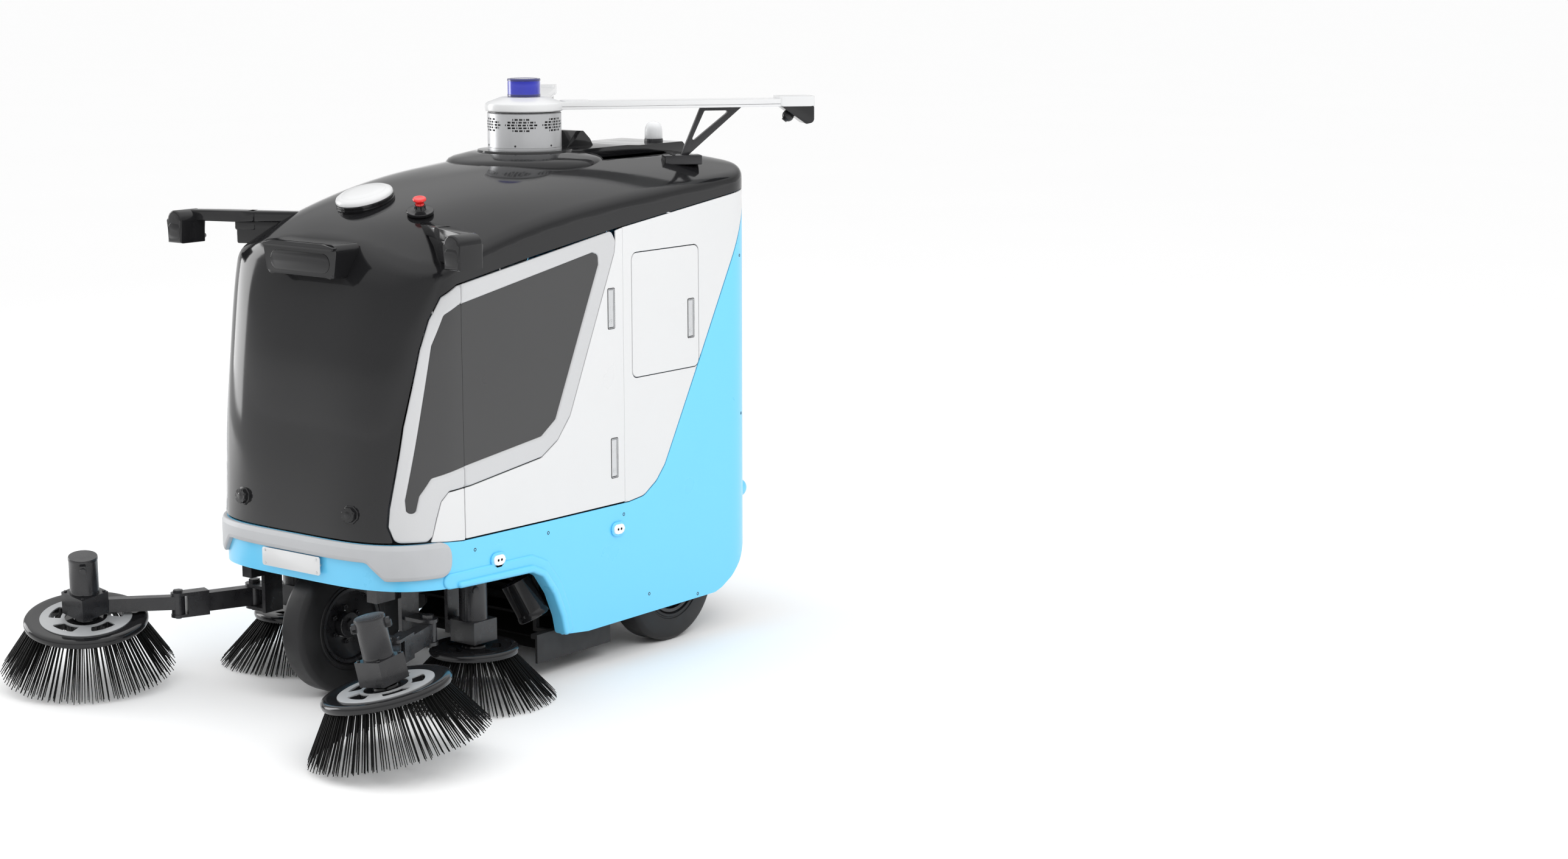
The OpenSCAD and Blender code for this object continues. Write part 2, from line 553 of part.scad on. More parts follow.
module cone(r0, r1, h, w) rotate_extrude($fn = 72) polygon([[r0 - w, -14], [r0, -14], [r1, -h + 3],
  [r1 - 4, -h], [r1 - w, -h], [r1 - w - 30, -h + 4]]);
module front_bristles() leaning() cone(disc_r - 14, ring_r, ring_drop, 42);
module link_left() color("dimgray") link();
module link_right() color("dimgray") mirror([1, 0, 0]) link();
module brush_arm_left() color("dimgray") brush_arm();
module brush_arm_right() color("dimgray") mirror([1, 0, 0]) brush_arm();
module front_disc_left() color("black") front_disc();
module front_disc_right() color("black") mirror([1, 0, 0]) front_disc();
module front_bristles_left() color("black") front_bristles();
module front_bristles_right() color("black") mirror([1, 0, 0]) front_bristles();
module inner_disc_left() color("black") translate([in_x, in_y, inner_h]) disc(inner_disc_r, 0);
module inner_disc_right() color("black") mirror([1, 0, 0]) translate([in_x, in_y, inner_h]) disc(inner_disc_r, 0);
module inner_bristles_left() color("black") translate([in_x, in_y, inner_h]) cone(inner_disc_r - 14, inner_ring_r, inner_h - 2, 40);
module inner_bristles_right() color("black") mirror([1, 0, 0]) translate([in_x, in_y, inner_h])
    cone(inner_disc_r - 14, inner_ring_r, inner_h - 2, 40);
module roller() color("black") translate([0, roller_y, roller_z]) rotate([0, 90, 0]) {
  translate([0, 0, -275]) cylinder(r = 60, h = 550, $fn = 48);
  translate([0, 0, -309.5]) cylinder(r = 15, h = 619, $fn = 48);
  for (i = [0 : 11]) rotate([0, 0, i * 30]) translate([55, -4, -270]) cube([roller_r - 55, 8, 540]);
}

translate([0, y_mid, 0]) {
chassis();
bay_frame();
skirt_shell();
bumper();
number_plate();
cowl();
side_panels();
window_surrounds();
quarter_glass();
front_sensors();
ear_cameras();
gnss_antenna();
estop_collar();
saucer();
tower_drum();
tower_cap();
arm_cameras();
struts();
lidar_housing();
beacon();
battery();
dust_bin();
fan_unit();
inner_motors();
flaps();
estop_button();
lidar_rotor();
door_left();
door_right();
door_glass_left();
door_glass_right();
latch_lu();
latch_ll();
latch_ru();
latch_rl();
service_left();
service_right();
service_latch_left();
service_latch_right();
rear_door();
fork();
front_rim();
front_tyre();
rear_rim_left();
rear_rim_right();
rear_tyre_left();
rear_tyre_right();
link_left();
link_right();
brush_arm_left();
brush_arm_right();
front_disc_left();
front_disc_right();
front_bristles_left();
front_bristles_right();
inner_disc_left();
inner_disc_right();
inner_bristles_left();
inner_bristles_right();
roller();
}
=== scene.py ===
import math
import random
import bpy
import bmesh
import numpy as np
from mathutils import Matrix, Vector, geometry

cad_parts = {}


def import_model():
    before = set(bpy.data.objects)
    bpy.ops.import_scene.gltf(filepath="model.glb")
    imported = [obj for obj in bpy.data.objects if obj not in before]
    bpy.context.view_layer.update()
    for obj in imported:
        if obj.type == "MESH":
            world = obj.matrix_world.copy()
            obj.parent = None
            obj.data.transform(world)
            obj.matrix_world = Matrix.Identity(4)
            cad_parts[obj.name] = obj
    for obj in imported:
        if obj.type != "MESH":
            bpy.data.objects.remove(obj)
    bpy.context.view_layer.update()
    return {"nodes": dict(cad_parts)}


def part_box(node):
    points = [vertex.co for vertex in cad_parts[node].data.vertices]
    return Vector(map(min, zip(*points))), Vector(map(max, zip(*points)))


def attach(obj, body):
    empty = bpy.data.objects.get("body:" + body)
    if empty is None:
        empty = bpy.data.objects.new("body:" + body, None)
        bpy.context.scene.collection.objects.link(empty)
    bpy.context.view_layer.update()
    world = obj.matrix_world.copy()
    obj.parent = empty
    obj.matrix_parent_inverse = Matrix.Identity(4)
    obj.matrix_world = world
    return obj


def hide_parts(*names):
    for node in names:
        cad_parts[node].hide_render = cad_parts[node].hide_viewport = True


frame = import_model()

LO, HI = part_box("front_tyre")
AXLE_Y = -470                           # the front axle in the body frame, mm
YM = (LO.y + HI.y) * 500 - AXLE_Y       # from the body frame to the part's frame, mm
PI = math.pi
TOWER_Y = 360                           # the middle of the roof tower
SIDES = ((1, "left"), (-1, "right"))


# ---------------------------------------------------------------- materials
def material(name, base, rough, metal=0.0, coat=0.0, tint=0.0, scale=40.0, bump=0.0, bscale=900.0,
             rvar=0.0, streak=None, ior=1.5, alpha=1.0, glow=0.0, trans=0.0, spec=None):
    m = bpy.data.materials.new(name)
    m.use_nodes = True
    nt = m.node_tree
    b = nt.nodes["Principled BSDF"]
    new, link = nt.nodes.new, nt.links.new
    b.inputs["Metallic"].default_value = metal
    b.inputs["Coat Weight"].default_value = coat
    b.inputs["Coat Roughness"].default_value = 0.04
    b.inputs["IOR"].default_value = ior
    b.inputs["Alpha"].default_value = alpha
    b.inputs["Transmission Weight"].default_value = trans
    if spec is not None:
        b.inputs["Specular IOR Level"].default_value = spec
    if glow:
        b.inputs["Emission Color"].default_value = (*base, 1)
        b.inputs["Emission Strength"].default_value = glow
    co = new("ShaderNodeTexCoord")
    mp = new("ShaderNodeMapping")
    mp.inputs["Scale"].default_value = streak or (1, 1, 1)
    link(co.outputs["Object"], mp.inputs["Vector"])
    n = new("ShaderNodeTexNoise")
    n.inputs["Scale"].default_value = scale
    n.inputs["Detail"].default_value = 6
    link(mp.outputs["Vector"], n.inputs["Vector"])
    mix = new("ShaderNodeMix")
    mix.data_type = "RGBA"
    mix.inputs[6].default_value = (*[c * (1 - tint) for c in base], 1)
    mix.inputs[7].default_value = (*[min(1, c * (1 + tint)) for c in base], 1)
    link(n.outputs["Fac"], mix.inputs[0])
    link(mix.outputs[2], b.inputs["Base Color"])
    r = new("ShaderNodeMapRange")
    r.inputs["To Min"].default_value = max(0.0, rough - rvar)
    r.inputs["To Max"].default_value = min(1.0, rough + rvar)
    r.inputs["From Min"].default_value = 0.3
    r.inputs["From Max"].default_value = 0.7
    link(n.outputs["Fac"], r.inputs["Value"])
    link(r.outputs["Result"], b.inputs["Roughness"])
    if bump:
        n2 = new("ShaderNodeTexNoise")
        n2.inputs["Scale"].default_value = bscale
        n2.inputs["Detail"].default_value = 3
        link(mp.outputs["Vector"], n2.inputs["Vector"])
        bp = new("ShaderNodeBump")
        bp.inputs["Strength"].default_value = bump
        bp.inputs["Distance"].default_value = 0.001
        link(n2.outputs["Fac"], bp.inputs["Height"])
        link(bp.outputs["Normal"], b.inputs["Normal"])
    return m


GLOSS = material("gloss_black", (0.012, 0.012, 0.013), 0.1, tint=0.15, scale=6, rvar=0.02, spec=0.42)
DARK = material("moulded_black", (0.022, 0.022, 0.024), 0.28, tint=0.25, scale=60, bump=0.12, bscale=1400,
        rvar=0.06)
SATIN = material("satin_black_steel", (0.016, 0.016, 0.018), 0.3, coat=0.15, tint=0.35, scale=25, bump=0.1,
        bscale=500, rvar=0.1)
BLUE = material("sky_blue_shell", (0.165, 0.655, 1.0), 0.3, coat=0.2, tint=0.015, scale=5, rvar=0.03,
        bump=0.03, bscale=700)
WHITE = material("white_shell", (0.74, 0.745, 0.75), 0.3, coat=0.35, tint=0.012, scale=5, rvar=0.03,
        bump=0.03, bscale=700)
PEARL = material("pearl_frame", (0.60, 0.605, 0.615), 0.34, metal=0.2, coat=0.3, tint=0.06, scale=700,
        rvar=0.04, bump=0.05, bscale=2200)
GREY = material("bumper_grey", (0.50, 0.51, 0.525), 0.42, tint=0.03, scale=30, bump=0.12, bscale=1500,
        rvar=0.05)
GLASS = material("tinted_glass", (0.058, 0.058, 0.059), 0.3, spec=0.35, tint=0.05, scale=3, rvar=0.03)
SILVER = material("silver_drum", (0.50, 0.505, 0.515), 0.34, metal=0.75, tint=0.03, scale=80,
        streak=(1, 1, 12), bump=0.06, bscale=500, rvar=0.06)
STEEL = material("brushed_latch", (0.66, 0.67, 0.68), 0.32, metal=0.6, tint=0.08, scale=220,
        streak=(1, 1, 0.05), bump=0.08, rvar=0.08)
RUBBER = material("rubber", (0.022, 0.022, 0.023), 0.62, tint=0.25, scale=30, bump=0.3, bscale=700, rvar=0.08)
TYRE = material("tyre_rubber", (0.014, 0.014, 0.015), 0.4, tint=0.3, scale=18, bump=0.15, spec=0.3,
        bscale=500, rvar=0.1)
BRISTLE = material("bristle", (0.004, 0.004, 0.004), 0.6, spec=0.12, tint=0.5, scale=160, bump=0.1, rvar=0.1)
RED = material("stop_red", (0.75, 0.012, 0.012), 0.22, coat=0.5, tint=0.05, scale=60, rvar=0.04, bump=0.04)
LIDAR = material("lidar_blue", (0.012, 0.02, 0.42), 0.08, metal=0.3, coat=0.8, tint=0.2, scale=20, rvar=0.03)
LIDARD = material("lidar_rim", (0.006, 0.008, 0.13), 0.12, coat=0.6, tint=0.2, scale=20, rvar=0.03)
MILK = material("beacon_milk", (0.85, 0.86, 0.87), 0.25, coat=0.3, tint=0.02, scale=20, rvar=0.03)
LAMP = material("sensor_white", (0.93, 0.94, 0.95), 0.25, coat=0.3, tint=0.01, scale=20, rvar=0.03)
RING = material("brush_ring_grey", (0.42, 0.43, 0.44), 0.4, metal=0.2, tint=0.08, scale=60, rvar=0.06,
        bump=0.05)
GREYBOX = material("battery_grey", (0.20, 0.21, 0.23), 0.45, tint=0.1, scale=20, rvar=0.08, bump=0.1)


# ---------------------------------------------------------------- mesh helpers
class Geo:
    """Collects vertices (body frame, mm) and faces of one piece."""

    def __init__(self):
        self.v, self.f = [], []

    def add(self, vf, at=None):
        """Take in a (vertices, faces) pair, moved by a matrix."""
        v, f = vf
        v = np.asarray(v, float)
        if at is not None:
            a = np.array(at)
            v = v @ a[:3, :3].T + a[:3, 3]
            if np.linalg.det(a[:3, :3]) < 0:
                f = [tuple(reversed(q)) for q in f]
        n = sum(len(q) for q in self.v)
        self.v.append(v)
        self.f += [tuple(int(i) + n for i in q) for q in f]
        return self

    def out(self, name, mat, body, slot, nodes=(), angle=35.0, side=1):
        """Make the piece; side -1 mirrors it to the right."""
        v = np.vstack(self.v)
        f = self.f
        if side < 0:
            v = v * np.array([-1, 1, 1])
            f = [tuple(reversed(q)) for q in f]
        ob = obj(name, v, f, mat, angle)
        place(ob, body, nodes)
        return ob


def obj(name, v, f, mat, angle=35.0):
    """A mesh object from body frame millimetres."""
    v = np.array(v, float)
    v[:, 1] += YM
    me = bpy.data.meshes.new(name)
    me.from_pydata((v / 1000).tolist(), [], f)
    me.update()
    ob = bpy.data.objects.new(name, me)
    bpy.context.scene.collection.objects.link(ob)
    me.materials.append(mat)
    me.shade_smooth()
    me.set_sharp_from_angle(angle=math.radians(angle))
    return ob


def place(ob, body, nodes=()):
    """Tie a piece to its body and hide the nodes it stands for."""
    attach(ob, body)
    if nodes:
        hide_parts(*nodes)


def T(x=0, y=0, z=0):
    """A shift."""
    return Matrix.Translation((x, y, z))


def R(deg, axis):
    """A turn in degrees about an axis."""
    return Matrix.Rotation(math.radians(deg), 4, axis)


TOWER = T(0, TOWER_Y, 0)


def revolve(prof, n=64, a0=0.0):
    """Solid of revolution about Z of an (r, z) profile, which closes on itself unless it ends on the axis."""
    closed = prof[0][0] > 1e-6 or prof[-1][0] > 1e-6
    v, f = [], []
    idx = []
    for r, z in prof:
        if r < 1e-6:
            idx.append([len(v)] * n)
            v.append((0, 0, z))
        else:
            idx.append(list(range(len(v), len(v) + n)))
            v += [(r * math.cos(a0 + 2 * PI * i / n), r * math.sin(a0 + 2 * PI * i / n), z) for i in range(n)]
    m = len(prof)
    for k in range(m if closed else m - 1):
        a, b = idx[k], idx[(k + 1) % m]
        for i in range(n):
            j = (i + 1) % n
            q = [a[i], a[j], b[j], b[i]]
            q = [x for t, x in enumerate(q) if x != q[t - 1]]
            if len(q) > 2:
                f.append(tuple(q))
    return v, f


def rounded(prof, radii, seg=4):
    """A polyline's corners replaced by arcs; radii is one number or a list."""
    n = len(prof)
    out = []
    for i, p in enumerate(prof):
        r = radii if isinstance(radii, (int, float)) else radii[i]
        a, b = np.array(prof[i - 1], float), np.array(prof[(i + 1) % n], float)
        p = np.array(p, float)
        if r <= 0:
            out.append(tuple(p))
            continue
        u, w = a - p, b - p
        lu, lw = np.linalg.norm(u), np.linalg.norm(w)
        u, w = u / lu, w / lw
        ang = math.acos(max(-1, min(1, float(u @ w))))
        if ang > PI - 0.02:
            out.append(tuple(p))
            continue
        d = min(r / math.tan(ang / 2), lu * 0.48, lw * 0.48)
        rr = d * math.tan(ang / 2)
        c = p + (u + w) / np.linalg.norm(u + w) * (rr / math.sin(ang / 2))
        s, e = p + u * d - c, p + w * d - c
        t0 = math.atan2(s[1], s[0])
        dt = (math.atan2(e[1], e[0]) - t0 + PI) % (2 * PI) - PI
        out += [(c[0] + rr * math.cos(t0 + dt * k / seg), c[1] + rr * math.sin(t0 + dt * k / seg))
                for k in range(seg + 1)]
    return out


def signed_area(p):
    """Positive where the outline runs anticlockwise."""
    p = np.array(p, float)
    return 0.5 * float(np.sum(p[:, 0] * np.roll(p[:, 1], -1) - np.roll(p[:, 0], -1) * p[:, 1]))


def from_bm(bm):
    """The vertices and faces of a bmesh, which is then freed."""
    bm.verts.index_update()
    r = [tuple(x.co) for x in bm.verts], [tuple(x.index for x in q.verts) for q in bm.faces]
    bm.free()
    return r


def prism(pts, h, bevel=0.0, seg=3):
    """Outline in XY pushed up h, with bevelled rims."""
    if signed_area(pts) < 0:
        pts = pts[::-1]
    bm = bmesh.new()
    base = [bm.verts.new((x, y, 0)) for x, y in pts]
    top = [bm.verts.new((x, y, h)) for x, y in pts]
    bm.faces.new(base[::-1])
    bm.faces.new(top)
    n = len(pts)
    for i in range(n):
        bm.faces.new((base[i], base[(i + 1) % n], top[(i + 1) % n], top[i]))
    if bevel:
        rim = [e for e in bm.edges if abs(e.verts[0].co.z - e.verts[1].co.z) < 1e-6]
        bmesh.ops.bevel(bm, geom=rim, offset=bevel, segments=seg, affect="EDGES", profile=0.5,
                clamp_overlap=True)
    return from_bm(bm)


def block(x, y, z, bevel=2.0, seg=3):
    """A box about its middle, with rounded edges."""
    bm = bmesh.new()
    bmesh.ops.create_cube(bm, size=1)
    bmesh.ops.scale(bm, vec=(x, y, z), verts=bm.verts)
    if bevel:
        bmesh.ops.bevel(bm, geom=list(bm.edges), offset=bevel, segments=seg, affect="EDGES", profile=0.5)
    return from_bm(bm)


def cyl(r, h, bevel=1.5, n=48):
    """An upright round bar with eased rims."""
    b = min(bevel, h * 0.4, r * 0.4)
    prof = [(0, 0), (r - b, 0), (r - b * 0.3, b * 0.3), (r, b), (r, h - b), (r - b * 0.3, h - b * 0.3),
            (r - b, h), (0, h)]
    return revolve(prof, n)


def ball(r, steps, n):
    """A sphere, as a solid of revolution."""
    arc = [(r * math.sin(PI * k / steps), -r * math.cos(PI * k / steps)) for k in range(1, steps)]
    return revolve([(0, -r)] + arc + [(0, r)], n)


def hexnut(r, h):
    return prism([(r * math.cos(PI / 3 * i), r * math.sin(PI / 3 * i)) for i in range(6)], h, 0.8, 2)


def boolean(ob, cutters, op="DIFFERENCE"):
    """ob cut by other objects, which are used up."""
    for c in cutters:
        m = ob.modifiers.new("b", "BOOLEAN")
        m.operation = op
        m.solver = "MANIFOLD"
        m.object = c
        bpy.context.view_layer.update()
        dg = bpy.context.evaluated_depsgraph_get()
        me = bpy.data.meshes.new_from_object(ob.evaluated_get(dg))
        ob.modifiers.remove(m)
        ob.data = me
        bpy.data.objects.remove(c)
    return ob


# ---------------------------------------------------------------- the body's surface
# (height, nose), (length, top in the middle) and (length, top at the edge)
ZF = [(0, -612), (100, -625), (300, -645), (480, -652), (590, -643), (800, -628), (1000, -600), (1150, -572),
        (1237, -550),
      (1300, -523), (1360, -492), (1430, -455), (1600, -360), (1700, -300)]
ZC = [(-900, 1060), (-700, 1200), (-600, 1270), (-500, 1345), (-460, 1385), (-400, 1423), (-320, 1453),
        (-200, 1485), (-100, 1505),
      (0, 1520), (200, 1538), (400, 1548), (600, 1550), (800, 1545), (950, 1530), (1050, 1500), (1200, 1450)]
ZE = [(-900, 1030), (-700, 1150), (-500, 1270), (-300, 1330), (-100, 1375), (100, 1405), (300, 1425),
        (500, 1440), (800, 1462), (1200, 1490)]


def smooth_table(tab, sigma):
    """Dense samples of a table, blurred so that its slope has no jumps."""
    x = np.arange(tab[0][0], tab[-1][0], 5.0)
    y = np.interp(x, [a for a, _ in tab], [b for _, b in tab])
    k = np.exp(-0.5 * (np.arange(-3 * sigma, 3 * sigma + 1, 5.0) / sigma) ** 2)
    k /= k.sum()
    m = len(k) // 2
    lead = y[0] + np.arange(-m, 0) * (y[1] - y[0]) / 5
    tail = y[-1] + np.arange(1, m + 1) * (y[-1] - y[-2])
    return x, np.convolve(np.concatenate([lead, y, tail]), k, "valid")


TF, TC, TE = smooth_table(ZF, 40), smooth_table(ZC, 45), smooth_table(ZE, 60)
HALF, Y_REAR = 430.0, 1030.0            # half of the width, the rear face
NOSE_Y, TAIL = -400, 180                # where the nose begins, how long the rounded tail is
NOSE_POWER, SIDE_POWER = 2.2, 4.2       # how square the corners are in plan
MIDDLE = np.array([0, 190, 720.0])      # a point from which the whole skin is in sight


def field(p, off=0.0):
    """Signed distance-like value of the body's skin, mm; negative inside."""
    x, y, z = np.abs(p[:, 0]), p[:, 1], p[:, 2]
    a = NOSE_Y - np.interp(z, *TF)
    t = np.maximum(0, (NOSE_Y - y) / a) ** NOSE_POWER
    b = np.maximum(0, (y - (Y_REAR - TAIL)) / TAIL) ** NOSE_POWER
    e = np.where(y < 200, SIDE_POWER, 4.0)
    f = ((np.abs(x / HALF) ** e + t + b) ** (1 / e) - 1) * HALF
    c, d = np.interp(y, *TC), np.interp(y, *TE)
    g = (z - (c - (c - d) * np.minimum(1, x / HALF) ** 2.6)) * 0.9
    k = 26.0
    h = np.maximum(k - np.abs(f - g), 0) / k
    return np.maximum(f, g) + h * h * k / 4 + off


def gradient(p):
    """Unit vectors that point out of the skin."""
    g = np.empty_like(p)
    for i in range(3):
        d = np.zeros(3)
        d[i] = 0.5
        g[:, i] = field(p + d) - field(p - d)
    return g / np.maximum(np.linalg.norm(g, axis=1), 1e-9)[:, None]


def body_mesh(off, n=110):
    """Closed skin grid: rays from the middle, met with the field; bottom cut flat."""
    dirs, faces, base = [], [], 0
    s = np.tan(np.linspace(-1, 1, n + 1) * PI / 4)
    u, v = np.meshgrid(s, s, indexing="ij")
    one = np.ones_like(u)
    for a, b, c in ((one, u, v), (-one, v, u), (v, one, u), (u, -one, v), (u, v, one), (v, u, -one)):
        dirs.append(np.stack([a, b, c], -1).reshape(-1, 3))
        q = base + np.arange((n + 1) ** 2).reshape(n + 1, n + 1)
        faces.append(np.stack([q[:-1, :-1], q[1:, :-1], q[1:, 1:], q[:-1, 1:]], -1).reshape(-1, 4))
        base += (n + 1) ** 2
    d = np.vstack(dirs) * np.array([430, 800, 700])
    d /= np.linalg.norm(d, axis=1)[:, None]
    faces = np.vstack(faces)
    key = np.round(d * 1e6).astype(np.int64)
    _, first, inv = np.unique(key, axis=0, return_index=True, return_inverse=True)
    inv = inv.reshape(-1)
    d = d[first]
    faces = inv[faces]
    lo, hi = np.full(len(d), 50.0), np.full(len(d), 1700.0)
    for _ in range(32):
        m = (lo + hi) / 2
        p = MIDDLE + d * m[:, None]
        w = np.maximum(field(p, off), 104.0 + off - p[:, 2])
        hi = np.where(w > 0, m, hi)
        lo = np.where(w > 0, lo, m)
    return MIDDLE + d * hi[:, None], faces


def ccw_out(v, f):
    """Turn every face to point away from the middle."""
    c = v[f].mean(1) - MIDDLE
    nrm = np.cross(v[f[:, 1]] - v[f[:, 0]], v[f[:, 2]] - v[f[:, 0]])
    flip = (nrm * c).sum(1) < 0
    f = f.copy()
    f[flip] = f[flip][:, ::-1]
    return f


SKIN = 4.0
outer_v, outer_f = body_mesh(0)
inner_v, inner_f = body_mesh(SKIN)
outer_f, inner_f = ccw_out(outer_v, outer_f), ccw_out(inner_v, inner_f)
SHELL_V = np.vstack([outer_v, inner_v])
SHELL_F = [tuple(q) for q in outer_f.tolist()]
SHELL_F += [tuple(q[::-1]) for q in (inner_f + len(outer_v)).tolist()]


def pushed(near, far):
    """A closed solid between two copies of an outline."""
    n = len(near)
    f = [tuple(range(n))[::-1], tuple(range(n, 2 * n))]
    f += [(i, (i + 1) % n, n + (i + 1) % n, n + i) for i in range(n)]
    return near + far, f


def side_prism(pts, x0=-600.0, x1=600.0):
    """Outline in (y, z) pushed along X."""
    if signed_area(pts) < 0:
        pts = pts[::-1]
    return pushed([(x0, y, z) for y, z in pts], [(x1, y, z) for y, z in pts])


def true_normals(ob):
    """Give the skin its exact normals, so that gloss runs smoothly over it."""
    me = ob.data
    nv, nl = len(me.vertices), len(me.loops)
    co = np.zeros(nv * 3)
    me.vertices.foreach_get("co", co)
    co = co.reshape(-1, 3) * 1000
    co[:, 1] -= YM
    g = gradient(co)
    near = np.abs(field(co)) < 0.6
    li = np.zeros(nl, int)
    me.loops.foreach_get("vertex_index", li)
    pn = np.zeros(len(me.polygons) * 3)
    me.polygons.foreach_get("normal", pn)
    pn = pn.reshape(-1, 3)
    tot = np.zeros(len(me.polygons), int)
    me.polygons.foreach_get("loop_total", tot)
    fn = np.repeat(pn, tot, axis=0)
    lg = g[li]
    ok = near[li] & ((fn * lg).sum(1) > 0.8)
    out = np.where(ok[:, None], lg, fn)
    me.shade_smooth()
    me.normals_split_custom_set(out.tolist())


def skin_piece(name, keep, mat, body, nodes, cuts=()):
    """The part of the skin inside an outline of the side view."""
    ob = obj(name, SHELL_V, SHELL_F, mat)
    boolean(ob, [obj("k", *side_prism(keep), mat)], "INTERSECT")
    boolean(ob, [obj("c", *c, mat) for c in cuts])
    true_normals(ob)
    place(ob, body, nodes)
    return ob


FRAME = [(-396, 1238), (-451, 1210), (-485, 1148), (-511, 1064), (-558, 848), (-594, 615), (-599, 562),
        (-590, 516),
         (-515, 514), (-500, 528), (-488, 574), (-471, 626), (-443, 652), (-354, 657), (-54, 694), (17, 735),
         (74, 802),
         (283, 1273), (288, 1310), (270, 1339)]
WINDOW = [(184, 1281), (-392, 1183), (-445, 1159), (-483, 1075), (-565, 638), (-564, 601), (-544, 599),
        (-533, 648),
          (-498, 697), (-357, 719), (-53, 756), (10, 798), (211, 1243), (209, 1272)]
COWL = [(-720, 514), (-593, 516), (-602, 562), (-597, 615), (-561, 848), (-514, 1064), (-488, 1149),
        (-454, 1213),
        (-397, 1243), (-70, 1295), (288, 1345), (947, 1423), (1060, 1437), (1060, 1700), (-720, 1700)]
SKIRT = [(-720, 380), (-424, 367), (-116, 357), (-72, 336), (-23, 270), (10, 194), (24, 135), (145, 122),
        (763, 125),
         (800, 136), (850, 163), (901, 206), (962, 280), (994, 370), (1012, 440), (1060, 560), (1060, 1434),
         (992, 1424),
         (924, 1322), (691, 895), (559, 658), (517, 583), (475, 537), (414, 500), (344, 492), (-32, 494),
         (-394, 498),
         (-494, 509), (-720, 510)]
PANEL = [(-513, 511), (-494, 511), (-394, 501), (-32, 497), (344, 495), (413, 503), (473, 540), (515, 586),
        (557, 661),
         (688, 897), (921, 1324), (986, 1421), (947, 1419), (288, 1341), (-70, 1291), (-400, 1238),
         (-478, 1120), (-504, 700)]


def soften(pts, r):
    return rounded(pts, r, 5)


def dense(pts, step):
    """A loop with points no further apart than the step."""
    out = []
    n = len(pts)
    for i in range(n):
        a, b = np.array(pts[i], float), np.array(pts[(i + 1) % n], float)
        m = max(1, int(np.linalg.norm(b - a) / step))
        out += [a + (b - a) * k / m for k in range(m)]
    return np.array(out)


def edge_distance(p, loops):
    """How far points are from the nearest loop."""
    d = np.full(len(p), 1e9)
    for q in loops:
        q = np.array(q, float)
        r = np.roll(q, -1, axis=0)
        for a, b in zip(q, r):
            ab = b - a
            t = np.clip(((p - a) @ ab) / max(ab @ ab, 1e-9), 0, 1)
            d = np.minimum(d, np.linalg.norm(p - a - t[:, None] * ab, axis=1))
    return d


def inside(p, poly):
    """Which points lie in a loop."""
    poly = np.array(poly, float)
    x, y = p[:, 0], p[:, 1]
    r = np.zeros(len(p), bool)
    for a, b in zip(poly, np.roll(poly, -1, axis=0)):
        c = (a[1] > y) != (b[1] > y)
        with np.errstate(divide="ignore", invalid="ignore"):
            xi = (b[0] - a[0]) * (y - a[1]) / (b[1] - a[1]) + a[0]
        r ^= c & (x < xi)
    return r


def skin_x(yz):
    """Where the skin is, for points of the side view."""
    lo, hi = np.full(len(yz), 100.0), np.full(len(yz), 440.0)
    for _ in range(30):
        m = (lo + hi) / 2
        w = field(np.column_stack([m, yz]))
        hi = np.where(w > 0, m, hi)
        lo = np.where(w > 0, lo, m)
    return hi


